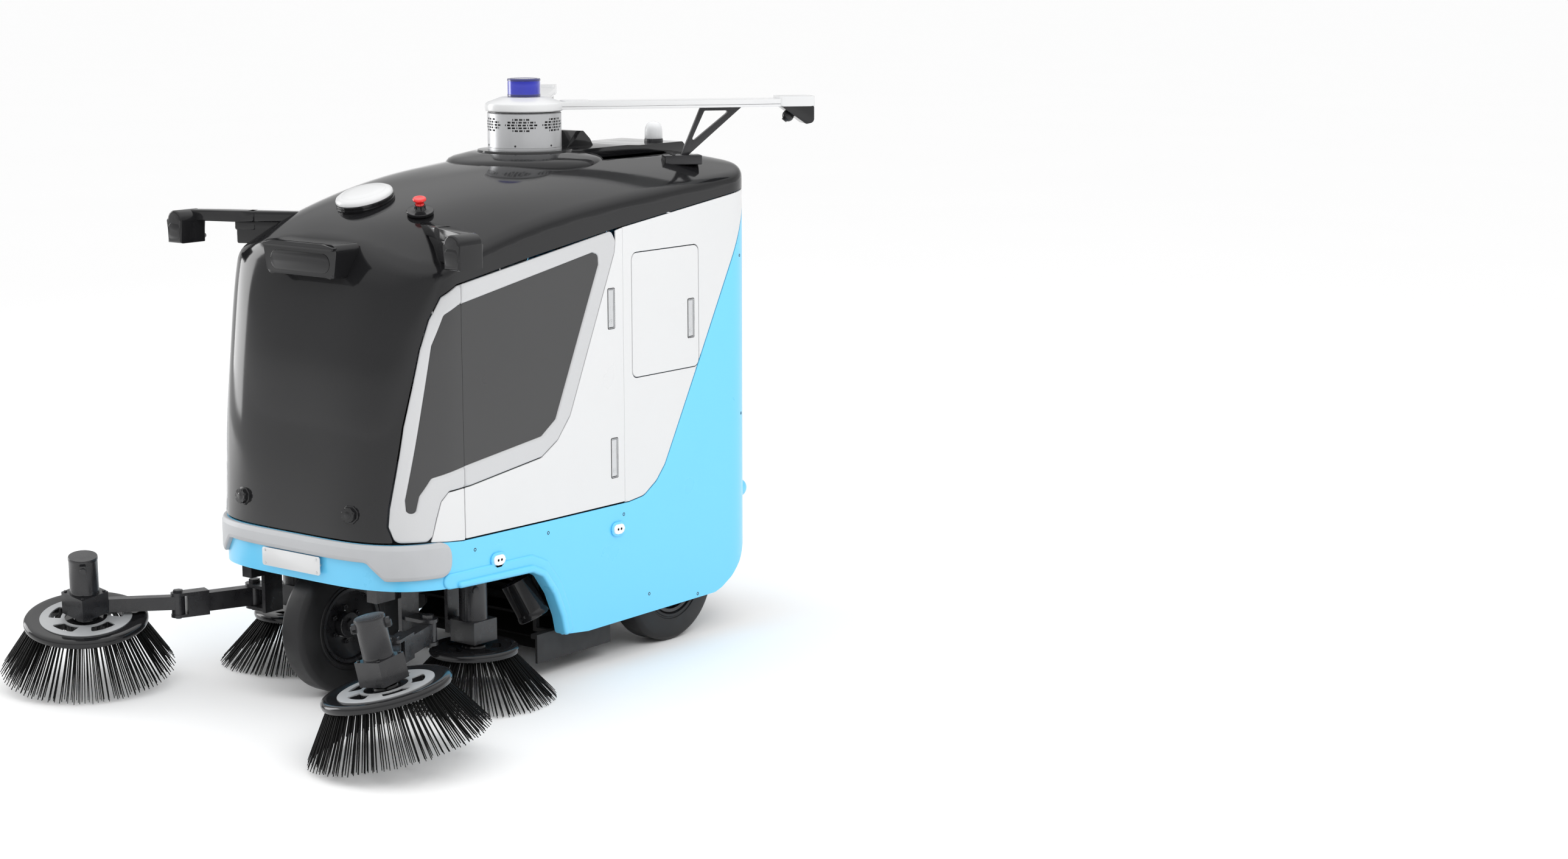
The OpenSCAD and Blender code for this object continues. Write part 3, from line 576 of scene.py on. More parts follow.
def side_panel(outer, holes=(), lift=0.0, rim=1.5, thick=4.0, grid=26.0, step=9.0, dish=None):
    """A curved panel over a region of the side view, with a rounded rim; closed, with a back."""
    loops = [dense(outer, step)] + [dense(h, step) for h in holes]
    if signed_area(loops[0]) < 0:
        loops[0] = loops[0][::-1]
    loops = [loops[0]] + [q if signed_area(q) < 0 else q[::-1] for q in loops[1:]]
    pts, edges = [], []
    for q in loops:
        n0 = len(pts)
        pts += [tuple(x) for x in q]
        edges += [(n0 + i, n0 + (i + 1) % len(q)) for i in range(len(q))]
    extra = []

    def within(p):
        """Which points are on the panel and in none of its holes."""
        ok = inside(p, loops[0])
        for q in loops[1:]:
            ok &= ~inside(p, q)
        return ok

    for d in (rim * 0.15, rim * 0.5, rim, rim * 1.8):
        for q in loops:
            t = np.roll(q, -1, axis=0) - np.roll(q, 1, axis=0)
            t /= np.maximum(np.linalg.norm(t, axis=1), 1e-9)[:, None]
            c = q + np.column_stack([-t[:, 1], t[:, 0]]) * d
            extra.append(c[within(c) & (edge_distance(c, loops) > d * 0.9)])
    lo, hi = loops[0].min(0), loops[0].max(0)
    gx, gy = np.meshgrid(np.arange(lo[0] + 5, hi[0], grid), np.arange(lo[1] + 5, hi[1], grid))
    c = np.column_stack([gx.ravel(), gy.ravel()])
    extra.append(c[within(c) & (edge_distance(c, loops) > rim * 1.8 + 4)])
    allp = pts + [tuple(x) for x in np.vstack(extra)]
    r = geometry.delaunay_2d_cdt([Vector(p) for p in allp], edges, [], 0, 1e-5)
    v2 = np.array([tuple(p) for p in r[0]])
    tri = np.array([t for t in r[2]])
    tri = tri[within(v2[tri].mean(1))]
    a, b, c3 = v2[tri[:, 0]], v2[tri[:, 1]], v2[tri[:, 2]]
    ar = (b[:, 0] - a[:, 0]) * (c3[:, 1] - a[:, 1]) - (b[:, 1] - a[:, 1]) * (c3[:, 0] - a[:, 0])
    tri[ar < 0] = tri[ar < 0][:, ::-1]
    d = edge_distance(v2, loops)
    drop = np.where(d < rim, rim - np.sqrt(np.maximum(rim ** 2 - (rim - d) ** 2, 0)), 0)
    base = np.column_stack([skin_x(v2), v2])
    nrm = gradient(base)
    h = lift - drop
    if dish is not None:
        h = h + dish(v2)
    top = base + nrm * h[:, None]
    back = base - nrm * thick
    n = len(v2)
    f = [tuple(t) for t in tri.tolist()] + [tuple(t[::-1]) for t in (tri + n).tolist()]
    cnt = {}
    for t in tri.tolist():
        for i in range(3):
            cnt[(t[i], t[(i + 1) % 3])] = 1
    for (i, j) in cnt:
        if (j, i) not in cnt:
            f.append((i, i + n, j + n, j))
    used = np.zeros(2 * n, bool)
    for q in f:
        used[list(q)] = True
    remap = np.cumsum(used) - 1
    return np.vstack([top, back])[used], [tuple(int(remap[i]) for i in q) for q in f]


def bar_outline(half, low, high, r, seg=4):
    """A rectangle about the middle, from low to high."""
    return rounded([(-half, low), (half, low), (half, high), (-half, high)], r, seg)


def rect(y0, y1, z0, z1, r):
    return rounded([(y0, z0), (y1, z0), (y1, z1), (y0, z1)], r, 6)


def clip_side(pts, y, keep_low):
    """Part of an outline on one side of a vertical line."""
    out = []
    n = len(pts)
    for i in range(n):
        a, b = pts[i], pts[(i + 1) % n]
        ia, ib = (a[0] <= y) == keep_low, (b[0] <= y) == keep_low
        if ia:
            out.append(a)
        if ia != ib:
            t = (y - a[0]) / (b[0] - a[0])
            out.append((y, a[1] + t * (b[1] - a[1])))
    return out


def chain(pts, y, low):
    """The part of a loop beyond a vertical line, from where it enters to where it leaves."""
    p = pts if signed_area(pts) > 0 else pts[::-1]
    n = len(p)
    keep = [(q[0] <= y) == low for q in p]
    s = next(i for i in range(n) if not keep[i] and keep[(i + 1) % n])

    def cross(a, b):
        t = (y - a[0]) / (b[0] - a[0])
        return (y, a[1] + t * (b[1] - a[1]))

    out = [cross(p[s], p[(s + 1) % n])]
    i = (s + 1) % n
    while keep[i]:
        out.append(p[i])
        i = (i + 1) % n
    out.append(cross(p[i - 1], p[i]))
    return out


def rear_prism(pts, y0, y1):
    """Outline in (x, z) pushed along Y."""
    if signed_area(pts) > 0:
        pts = pts[::-1]
    return pushed([(x, y0, z) for x, z in pts], [(x, y1, z) for x, z in pts])


def skin_frame(x, y, z):
    """A matrix at a skin point whose Z points out of the skin and Y up."""
    p = np.array([[x, y, z]], float)
    n = Vector(gradient(p)[0])
    up = Vector((0, 0, 1))
    ax = up.cross(n).normalized()
    ay = n.cross(ax)
    m = Matrix((ax, ay, n)).transposed().to_4x4()
    return T(x, y, z) @ m


soft_frame, soft_window = soften(FRAME, 16), soften(WINDOW, 15)

# ---------------------------------------------------------------- shells
tail_hole = rear_prism(bar_outline(243, 447, 1313, 14), 985, 1100)
skin_piece("cowl_skin", soften(COWL, 5), GLOSS, "machine", ("cowl",))
skin_piece("skirt_skin", soften(SKIRT, [3, 3, 60, 60, 60, 60, 6, 6, 60, 60, 60, 60, 60, 60, 40, 40, 3, 6, 30,
        30, 30, 60, 60, 60, 60, 40, 40, 40, 3]),
           BLUE, "machine", ("skirt_shell",), [tail_hole])
ob = obj("tail_door_skin", SHELL_V, SHELL_F, BLUE)
boolean(ob, [obj("k", *rear_prism(bar_outline(240, 450, 1310, 12), 985, 1100), BLUE)], "INTERSECT")
true_normals(ob)
place(ob, "tail_door", ("rear_door",))

LIP = soften([(-424, 365), (-116, 355), (-72, 334), (-25, 270), (8, 194), (22, 135), (46, 135), (32, 202),
        (-3, 283), (-56, 354), (-110, 377), (-424, 384)], 26)
LIP_FOOT = soften([(-470, 366), (-116, 356), (-71, 335), (-24, 270), (9, 194), (23, 135), (76, 130),
        (60, 212), (22, 300), (-38, 378),
                   (-104, 406), (-470, 412)], 26)
FRONT_WHITE = [(-505, 511.5), (-394, 501), (-382, 500.8), (-382, 652), (-443, 648), (-469, 624), (-486, 572),
        (-499, 526)]
DOOR_WHITE = [(-379, 503), (-32, 499), (323.2, 497.5), (323.2, 1345), (291, 1338), (291.5, 1310),
        (286.5, 1271), (77, 799), (19, 732), (-53, 690.5),
              (-354, 653.5), (-379, 652)]
LATCHES = {"lu": (268, 1162), "ll": (276, 700), "service": (648, 1092)}


def latch_hole(key):
    y, z = LATCHES[key]
    return rect(y - 15.5, y + 15.5, z - 121, z + 3, 5)


def latch(key, side, tag, door, paddle, node):
    """A flush latch: a black ring on the door that is painted shade for the gap round the tray, a steel tray
    on the door, and the paddle in them.
    """
    y, z = LATCHES[key]
    x = float(skin_x(np.array([[y, z - 60.0]]))[0])

    def outline(half, below, above, r):
        return rect(y - half, y + half, z - below, z + above, r)

    def hollow(q):
        return -2.2 * np.exp(-(((q[:, 0] - y) / 9) ** 2 + ((q[:, 1] - z + 40) / 30) ** 2))

    # dark ring round the tray: painted shade standing in for the shaded gap between the tray and the door
    g = Geo()
    g.add(side_panel(outline(16.6, 122, 4, 5), [outline(14.2, 119.7, 1.7, 4)],
                     lift=1.2, rim=1.0, thick=1.0, grid=60, step=7))
    g.out(f"latch_gasket_{key}_{tag}", DARK, door, "black_matte", side=side)
    g = Geo()
    g.add(side_panel(outline(14.1, 119.6, 1.6, 4), [outline(13.0, 118.2, 0.2, 3.5)],
                     lift=1.6, rim=0.7, thick=18, grid=60, step=7))
    g.add(block(2, 30, 122, 0.5, 1), T(x - 17, y, z - 59))
    g.out(f"latch_tray_{key}_{tag}", STEEL, door, "steel", side=side)
    g = Geo()
    g.add(side_panel(outline(12.6, 116.5, -1.5, 4), lift=-0.5, rim=2.2, thick=3.5, grid=14, step=5,
            dish=hollow))
    g.add(revolve([(0, 0), (7.2, 0), (7.2, 1.2), (6.4, 1.9), (5.6, 1.9), (5.2, 1.3), (0, 1.3)], 32),
          T(x - 1.2, y, z - 98) @ R(90, "Y"))
    g.add(block(1.2, 5.5, 0.6, 0.2, 1), T(x + 0.4, y, z - 98) @ R(90, "X"))
    g.add(cyl(4.4, 25, 0.5, 20), T(x - 5.5, y - 12.5, z - 5) @ R(-90, "X"))
    g.out(f"paddle_{key}_{tag}", STEEL, paddle, "steel", (node,), side=side)


def knuckles(g, y, heights):
    """The sleeves of a hinge, on the inner face of a door."""
    for z in heights:
        g.add(revolve([(5.05, 0), (12, 0), (12, 40), (5.05, 40)], 32), T(408, y, z))
        g.add(block(14, 24, 40, 1, 1), T(419, y, z + 20))


for s, tag in SIDES:
    door, serv = f"side_door_{tag}", f"service_door_{tag}"
    g = Geo()
    g.add(side_panel(clip_side(soften(PANEL, [3, 3, 30, 30, 60, 60, 60, 60, 60, 60, 40, 6, 6, 3, 3, 3, 3,
            3]), 324.2, False), [rect(363, 689, 875, 1265, 24)]))
    g.add(side_panel(soften(FRONT_WHITE, 3), grid=20))
    g.out(f"white_panels_{tag}", WHITE, "machine", "white", ("side_panels",), side=s)
    g = Geo().add(side_panel(soften(DOOR_WHITE, [4, 3, 4, 4, 3, 3, 30, 40, 40, 30, 3, 3]),
            [latch_hole("lu"), latch_hole("ll")]))
    knuckles(g, -345, (560, 1196))
    g.out(f"door_panel_{tag}", WHITE, door, "white", (f"door_{tag}",), side=s)
    for name, y, low, body, nodes in (("door_surround", -379, False, door, ()),
                                      ("surround", -380.2, True, "machine", ("window_surrounds",))):
        band = chain(soft_frame, y, low) + chain(soft_window, y, low)[::-1]
        g = Geo().add(side_panel(band, lift=3.2, rim=5.5, thick=4, grid=18))
        g.out(f"{name}_{tag}", PEARL, body, "pearl", nodes, side=s)
    Geo().add(side_panel(clip_side(soft_window, -379, False), lift=-0.8, rim=0.8, thick=3.2)).out(
        f"door_window_{tag}", GLASS, door, "tinted_glass", (f"door_glass_{tag}",), side=s)
    Geo().add(side_panel(clip_side(soft_window, -380, True), lift=-0.8, rim=0.8, thick=3.2, grid=16)).out(
        f"quarter_window_{tag}", GLASS, "machine", "tinted_glass", ("quarter_glass",), side=s)
    g = Geo().add(side_panel(rect(366, 686, 878, 1262, 22), [latch_hole("service")]))
    knuckles(g, 405, (930, 1170))
    g.out(f"service_panel_{tag}", WHITE, serv, "white", (f"service_{tag}",), side=s)
    latch("lu", s, tag, door, f"paddle_{tag[0]}u", f"latch_{tag[0]}u")
    latch("ll", s, tag, door, f"paddle_{tag[0]}l", f"latch_{tag[0]}l")
    latch("service", s, tag, serv, f"service_paddle_{tag}", f"service_latch_{tag}")
    # raised lip of the wheel arch
    g = Geo().add(side_panel(LIP_FOOT, lift=7, rim=5.5, thick=24, grid=14, step=6))
    g.add(side_panel(LIP, lift=20, rim=9, thick=24, grid=14, step=6))
    g.out(f"arch_lip_{tag}", BLUE, "machine", "blue", side=s)
    # skirt screws, side sensors
    g = Geo()
    for y, z in ((905, 1207), (916, 691), (316, 458), (-29, 459), (-343, 464), (434, 183), (674, 137),
            (43, 187)):
        m = skin_frame(float(skin_x(np.array([[y, z]], float))[0]), y, z)
        g.add(revolve([(0, -1.2), (2.4, -1.2), (3.2, 0.5), (4.6, 0.8), (5.4, 0.2), (5.6, -1), (0, -3)], 24),
                m)
    g.out(f"skirt_screws_{tag}", SATIN, "machine", "black_matte", side=s)
    g, h = Geo(), Geo()
    for y in (-250, 285):
        m = skin_frame(HALF, y, 418)
        g.add(prism(bar_outline(31, -22, 22, 21, 8), 7, 3.5, 4), m)
        h.add(prism(bar_outline(24, -15, 15, 14.5, 8), 10.5, 3, 4), m @ T(0, 0, 0.4))
        for k in (-7, 7):
            h.add(revolve([(0, 10.9), (4, 10.9), (5, 11.4), (6, 10.9), (6, 10), (0, 10)], 20), m @ T(k, 0, 0))
    g.out(f"sensor_base_{tag}", BLUE, "machine", "blue", side=s)
    h.out(f"sensor_lens_{tag}", LAMP, "machine", "beacon_white", side=s)
    # rear bumps and ear cameras
    Geo().add(revolve([(0, -30), (34, -30), (33, 8), (30, 20), (24, 30), (20, 33), (14, 35), (0, 35)], 40),
            T(330, 996, 420) @ R(-90, "X")).out(
        f"rear_bump_{tag}", BLUE, "machine", "blue", side=s)
    g = Geo()
    arch = [(-31, 0), (31, 0), (31, 67)] + [(31 * math.cos(a * PI / 12),
            67 + 31 * math.sin(a * PI / 12)) for a in range(1, 12)] + [(-31, 67)]
    g.add(prism(arch, 96, 7, 4), T(576, -469, 1308) @ R(90, "X"))
    g.add(prism(bar_outline(24, 10, 60, 14, 5), 3, 1, 2), T(576, -562.5, 1308) @ R(90, "X"))
    m = T(372, -430, 1372) @ R(-25, "Z")
    g.add(prism(rounded([(0, 4), (60, 0), (215, 8), (215, 50), (60, 58), (0, 56)], 8, 3), 33, 6, 3), m)
    g.add(prism(rounded([(0, 12), (70, 14), (70, 44), (0, 46)], 8, 3), 30, 6, 3), m @ T(0, 0, -26))
    g.add(prism(rounded([(-150, 12), (30, 6), (30, 54), (-150, 48)], 6, 3), 33, 6, 3), m)
    g.add(prism(rounded([(-120, 14), (64, 14), (64, 46), (-120, 46)], 6, 3), 72, 6, 3), m @ T(0, 0, -66))
    g.add(ball(13, 12, 32), T(576, -460, 1322))
    g.add(cyl(7, 8, 1.5, 24), T(576, -454, 1322) @ R(-90, "X"))
    g.out(f"ear_camera_{tag}", GLOSS, "machine", "black_matte", ("ear_cameras",), side=s)

# ---------------------------------------------------------------- bumper, plate, front sensors
def ease(distance, reach):
    """From 0 to 1 along a quarter of a circle."""
    return math.sqrt(max(0.0, 1 - (1 - min(1, distance / reach)) ** 2))


def bumper():
    """A bar round the nose, with a higher lower edge in the middle and tapered ends."""
    steps, depth, top = 120, 252, 509.0
    end = math.asin((40 / depth) ** (NOSE_POWER / 2))
    plan = []
    for j in range(steps + 1):
        turn = end + (PI - 2 * end) * (j / steps)
        c = math.cos(turn)
        plan.append((HALF * math.copysign(abs(c) ** (2 / SIDE_POWER), c), math.sin(turn) ** (2 / NOSE_POWER)))
    plan = np.array(plan)
    path = np.column_stack([plan[:, 0], NOSE_Y - depth * plan[:, 1]])
    arc = np.concatenate([[0], np.cumsum(np.linalg.norm(np.diff(path, axis=0), axis=1))])
    stations = arc[-1] * (1 - np.cos(np.linspace(0, PI, 141))) / 2
    across, forward = np.interp(stations, arc, plan[:, 0]), np.interp(stations, arc, plan[:, 1])
    v, f = [], []
    for x, share, s in zip(across, forward, stations):
        edge = min(s, arc[-1] - s)
        low = 458 - 52 * min(1, max(0, (abs(x) - 282) / 50))
        mid, half = (low + top) / 2, (top - low) / 2 * max(0.02, ease(edge, 46))
        off = 14.8 * max(0.03, ease(edge, 22))
        loop = rounded([(0.6, mid - half), (0.6 + off * 0.8, mid - half),
                        (0.6 + off, mid - half + min(12, half * 0.6)),
                        (0.6 + off, mid + half - min(14, half * 0.6)),
                        (0.6 + off * 0.7, mid + half), (0.6, mid + half)],
                       [0, min(5, half * 0.3), min(6, half * 0.3), min(7, half * 0.3), min(5, half * 0.3),
                       0], 4)
        m = len(loop)
        for out, z in loop:
            reach = NOSE_Y - float(np.interp(z, *TF))
            p = np.array([[x, NOSE_Y - reach * share, z]])
            v.append(tuple((p + gradient(p) * out)[0]))
    last = len(stations) - 1
    for j in range(last):
        for k in range(m):
            f.append((j * m + k, (j + 1) * m + k, (j + 1) * m + (k + 1) % m, j * m + (k + 1) % m))
    f.append(tuple(range(m)))
    f.append(tuple(last * m + k for k in range(m))[::-1])
    return v, f


def octagon(across, high):
    return [(across * math.cos(PI / 4 * i + PI / 8), high * math.sin(PI / 4 * i + PI / 8)) for i in range(8)]


Geo().add(bumper()).out("bumper_bar", GREY, "machine", "grey_bumper", ("bumper",), angle=50)
g = Geo()
g.add(prism(bar_outline(121, 0, 54, 6, 5), 3, 1, 3), T(0, -661.5, 402) @ R(90, "X"))
g.out("plate", WHITE, "machine", "white", ("number_plate",))
g = Geo()
for x in (-108, 108):
    for z in (410, 448):
        g.add(revolve([(0, 1.2), (2, 1.4), (3.6, 1.6), (4, 0.4), (4, -3), (0, -3)], 20),
                T(x, -664.6, z) @ R(90, "X"))
    g.add(cyl(5, 14, 1, 16), T(x, -661, 429) @ R(-90, "X"))
g.out("plate_screws", STEEL, "machine", "white")

g = Geo()
for s, tag in SIDES:
    m = skin_frame(224.0 * s, -634.0, 590.0)
    g.add(prism(octagon(31, 28), 10, 3, 3), m @ T(0, 0, -4))
    g.add(prism(rounded(octagon(26, 23), 9, 4), 18, 6, 4), m @ T(0, 0, -1))
    g.add(revolve([(0, 18), (9, 18), (10, 17.6), (12, 17.6), (12.6, 16), (0, 15)], 28), m)
g.out("front_sensor_pods", GLOSS, "machine", "black_matte", ("front_sensors",))

g = Geo()
m = T(0, -500, 1250) @ R(90, "X")
g.add(prism(rounded([(-138, 0), (-104, 6), (104, 6), (138, 0), (152, 84), (140, 102), (-140, 102),
        (-152, 84)], [14, 40, 40, 14, 22, 16, 16, 22], 6), 92, 9, 4), m)
g.out("visor_body", GLOSS, "machine", "black_matte")
g = Geo()
g.add(prism(bar_outline(122, 18, 74, 27, 8), 2.4, 1, 2), T(0, -591.2, 1250) @ R(90, "X"))
g.out("visor_window", GLOSS, "machine", "black_matte")
g = Geo()
g.add(prism(rounded([(-150, 96), (-104, 104), (104, 104), (150, 96), (146, 86), (-146, 86)], 6, 4), 20, 5,
        3), T(0, -584, 1248) @ R(90, "X"))
g.out("visor_brow", GLOSS, "machine", "black_matte")

# ---------------------------------------------------------------- roof pieces
m = T(0, -327, 1448) @ R(17, "X")
Geo().add(revolve([(0, -14), (84, -14), (86, -2), (87.5, 0), (87.5, 4), (85, 5.5), (85, 7), (87, 8.5),
        (87, 12), (84.5, 13.5), (0, 13.5)], 96), m).out(
    "dome_base", GLOSS, "machine", "black_matte")
Geo().add(revolve([(0, 13), (84, 13), (85.6, 15), (85.6, 20), (83, 25), (76, 29), (68, 31.5), (66, 31.2),
        (64, 32.4), (40, 35), (0, 36)], 96), m).out(
    "dome_cap", WHITE, "machine", "white", ("gnss_antenna",))
m = T(222, -325, 1424) @ R(12, "Y") @ R(15, "X")
Geo().add(revolve([(11.3, 4), (38, 4), (40, 9), (40, 12), (38.6, 13.6), (36, 13.2), (22, 13.4), (18, 15),
        (16.6, 18), (16.6, 29), (15.8, 30), (14.6, 30), (14.2, 24), (11.3, 24)], 72), m).out(
    "stop_collar", GLOSS, "machine", "black_matte", ("estop_collar",))
Geo().add(revolve([(0, 18), (11, 18), (11, 30), (13.2, 31), (12.6, 34), (12.6, 38), (14, 41), (17, 43.4),
        (19.6, 44.8), (20, 46.4), (19.6, 49), (18, 51), (15, 52),
                   (11, 50.9), (0, 50.4)], 64), m).out("stop_button", RED, "estop", "red", ("estop_button",))
g = Geo()
g.add(revolve([(0, 1490), (252, 1490), (250, 1514), (246, 1526), (238, 1535), (224, 1541.5), (205, 1546.5),
        (176, 1553.5), (160, 1556), (0, 1556)], 120), TOWER)
g.add(revolve([(0, 1556), (150, 1556), (147, 1561.5), (120, 1562.5), (0, 1562.5)], 96), TOWER)
SIDEWAYS = Matrix(((0, 0, 1, 0), (1, 0, 0, 0), (0, 1, 0, 0), (0, 0, 0, 1)))
g.add(prism(rounded([(380, 1500), (380, 1558), (700, 1559.5), (760, 1555.5), (980, 1555.5), (1006, 1505)],
        [2, 2, 60, 60, 14, 2], 5), 260, 8, 3), T(-130, 0, 0) @ SIDEWAYS)
g.add(prism(rounded([(505, 1552), (556, 1609), (590, 1607), (622, 1580), (642, 1552)], [2, 10, 8, 10, 2], 5),
        80, 7, 3), T(-40, 0, 0) @ SIDEWAYS)
g.out("saucer_body", GLOSS, "machine", "black_gloss", ("saucer",))

drum = obj("drum_shell", *revolve([(111, 1560), (113.5, 1560), (115, 1562), (115, 1568), (114.2, 1569),
        (115, 1570), (115, 1674), (113, 1676.5), (111, 1676.5)], 160), SILVER)
drum.data.transform(T(0, TOWER_Y / 1000, 0))
cut = Geo()
for grp in range(6):
    for row in range(5):
        half = (14, 22, 26.5, 22, 14)[row]
        a = -half
        k = row % 2
        while a < half:
            w = 5.2 if (k % 3) else 1.6
            w = min(w, half - a)
            if w > 0.8:
                c = math.radians(grp * 60 + 8 + a + w / 2)
                cut.add(block(12, 115 * math.radians(w), 5.6, 0, 1),
                        T(114 * math.cos(c), TOWER_Y + 114 * math.sin(c),
                        1624 + row * 8.6) @ Matrix.Rotation(c, 4, "Z"))
            a += w + 1.9
            k += 1
boolean(drum, [obj("c", np.vstack(cut.v), cut.f, SILVER)])
drum.data.shade_smooth()
drum.data.set_sharp_from_angle(angle=0.6)
place(drum, "machine", ("tower_drum",))
g = Geo()
g.add(revolve([(0, 1562), (108, 1562), (108, 1678), (0, 1678)], 64), TOWER)
g.add(revolve([(0, 1675), (112.5, 1675), (112.5, 1681), (0, 1681)], 96), TOWER)
for k in range(6):
    c = math.radians(k * 60 - 62)
    g.add(revolve([(0, 0), (3.2, 0), (3.2, 1), (2.4, 1.6), (0, 1.2)], 16), T(114.6 * math.cos(c),
            TOWER_Y + 114.6 * math.sin(c), 1577) @ Matrix.Rotation(c, 4, "Z") @ R(90, "Y"))
g.out("drum_core", DARK, "machine", "black_matte")

g = Geo()
g.add(revolve([(0, 1681), (119, 1681), (121.6, 1684), (122, 1690), (122, 1699), (120, 1704), (112, 1709),
        (92, 1716), (76, 1722), (70, 1723.6), (0, 1723.6)], 128), TOWER)
for s, tag in SIDES:
    m = TOWER @ R(-39 * s, "Z")
    g.add(prism(rounded([(-50, 40), (-52, 300), (-50, 812), (50, 812), (52, 300), (50, 40)],
            [2, 200, 6, 6, 200, 2], 4), 8, 2, 2), m @ T(0, 0, 1684))
    g.add(prism(rounded([(-51, 40), (-52, 300), (-51, 812), (51, 812), (52, 300), (51, 40)],
            [2, 200, 6, 6, 200, 2], 4), 15, 5, 4), m @ T(0, 0, 1692.8))
    g.add(prism(rounded([(-51, 808), (-51.5, 924), (51.5, 924), (51, 808)], [10, 14, 14, 10], 5), 31.5, 5,
            4), m @ T(0, 0, 1684.2))
    g.add(prism(rounded([(-44, 116), (-44, 205), (44, 205), (44, 116)], 18, 5), 4, 2, 3), m @ T(0, 0, 1706.5))
g.out("cap_and_arms", WHITE, "machine", "white", ("tower_cap",))
g, h, w = Geo(), Geo(), Geo()
for s, tag in SIDES:
    m = TOWER @ R(-39 * s, "Z")
    g.add(prism(rounded([(816, 1684), (922, 1684), (922, 1632), (896, 1627)], [2, 3, 12, 8], 5), 80, 6, 3),
            m @ T(-40, 0, 0) @ SIDEWAYS)
    g.add(ball(19, 14, 36), m @ T(0, 846, 1652))
    g.add(cyl(9, 6, 1.5, 24), m @ T(0, 836, 1641) @ R(140, "X"))
    o = obj("k", *prism([(495, 1531), (560, 1684), (695, 1684), (517, 1531)], 18, 1.6, 2), SATIN)
    c = obj("c", *prism(rounded([(524, 1568), (572, 1672), (655, 1672)], 5, 4), 40), SATIN)
    for q, off in ((o, -9), (c, -20)):
        q.data.transform(Matrix.Translation((0, -YM / 1000, 0)))
        q.data.transform(T(off / 1000, 0, 0) @ SIDEWAYS)
    boolean(o, [c])
    vv = np.array([tuple(x.co) for x in o.data.vertices]) * 1000
    ff = [tuple(p.vertices) for p in o.data.polygons]
    bpy.data.objects.remove(o)
    w.add((vv, ff), m)
    w.add(block(60, 120, 30, 4, 3), m @ T(0, 500, 1519))
    for k in (-18, 18):
        w.add(hexnut(6, 5), m @ T(k, 470, 1533))
g.out("arm_camera_pods", GLOSS, "machine", "black_matte", ("arm_cameras",))
w.out("arm_struts", SATIN, "machine", "frame_steel", ("struts",), angle=25)
Geo().add(revolve([(0, 1731), (51, 1731), (51.2, 1732), (51.2, 1772), (51, 1773), (0, 1773)], 96),
        TOWER).out("lidar_drum", LIDAR, "machine", "lidar_blue")
g = Geo()
g.add(revolve([(0, 1724), (50, 1724), (52, 1725.5), (52, 1731), (51, 1732), (0, 1732)], 96), TOWER)
g.add(revolve([(0, 1772), (51, 1772), (52, 1773), (52, 1777.5), (50, 1780), (44, 1780), (43, 1779),
        (0, 1779)], 96), TOWER)
g.out("lidar_rims", LIDARD, "machine", "lidar_blue", ("lidar_housing",))
Geo().add(revolve([(0, 1554), (31, 1554), (31, 1560), (29.5, 1564), (0, 1564)], 48),
        T(45, 930, 0)).out("beacon_base", SATIN, "machine", "black_matte")
Geo().add(revolve([(0, 1563), (28.5, 1563), (29.5, 1566), (29.2, 1590), (27, 1602), (22, 1611), (14, 1617.5),
        (6, 1619.6), (0, 1620)], 64), T(45, 930, 0)).out(
    "beacon_dome", MILK, "machine", "beacon_white", ("beacon",))

# ---------------------------------------------------------------- wheels
def tyre_profile(w, r=205.0, rim=115.0):
    """Smooth solid tyre with a chamfered shoulder and a shallow groove round the rim."""
    h = w / 2
    p = [(rim, -h + 6), (rim + 5, -h), (rim + 12, -h), (rim + 14, -h + 2.5), (rim + 18, -h + 2.5),
            (rim + 20, -h),
         (r - 15, -h), (r - 9, -h + 2), (r - 3, -h + 9), (r - 0.6, -h + 13), (r, -h + 18)]
    return p + [(a, -b) for a, b in reversed(p)]


def rim_geo(g, m, w, hub):
    g.add(revolve([(103, -w / 2 + 4), (113, -w / 2 + 3), (115, -w / 2 + 6), (115, w / 2 - 6),
            (113, w / 2 - 3), (103, w / 2 - 4), (100, w / 2 - 14), (60, 12), (40, 10),
                   (40, -10), (60, -12), (100, -w / 2 + 14)], 96), m)
    g.add(revolve([(hub[0], hub[1]), (36, hub[1]), (38, hub[1] + 2), (38, hub[2] - 2), (36, hub[2]),
            (hub[0], hub[2])], 48), m)
    for k in range(6):
        c = m @ Matrix.Rotation(PI / 3 * k, 4, "Z")
        for zz, fl in ((11.5, 0), (-11.5, 180)):
            g.add(hexnut(8, 9), c @ T(52, 0, zz) @ R(fl, "X"))
            g.add(cyl(4, 14, 1, 12), c @ T(52, 0, zz) @ R(fl, "X"))
        g.add(block(34, 8, 16, 2, 2), c @ R(30, "Z") @ T(78, 0, 0))


m = T(0, AXLE_Y, 205) @ R(90, "Y")
Geo().add(revolve(tyre_profile(92), 160), m).out("front_tyre_skin", TYRE, "front_wheel", "tyre",
        ("front_tyre",), angle=40)
g = Geo()
rim_geo(g, m, 92, (12.1, -50, 36))
g.out("front_rim_detail", SATIN, "front_wheel", "frame_steel", ("front_rim",))
for s, tag in SIDES:
    m = T(354, 585, 205) @ R(90, "Y")
    Geo().add(revolve(tyre_profile(100), 160), m).out(f"rear_tyre_skin_{tag}", TYRE, f"rear_wheel_{tag}",
            "tyre", (f"rear_tyre_{tag}",), angle=40, side=s)
    g = Geo()
    rim_geo(g, m, 100, (15.1, -50, 30))
    g.out(f"rear_rim_detail_{tag}", SATIN, f"rear_wheel_{tag}", "frame_steel", (f"rear_rim_{tag}",), side=s)

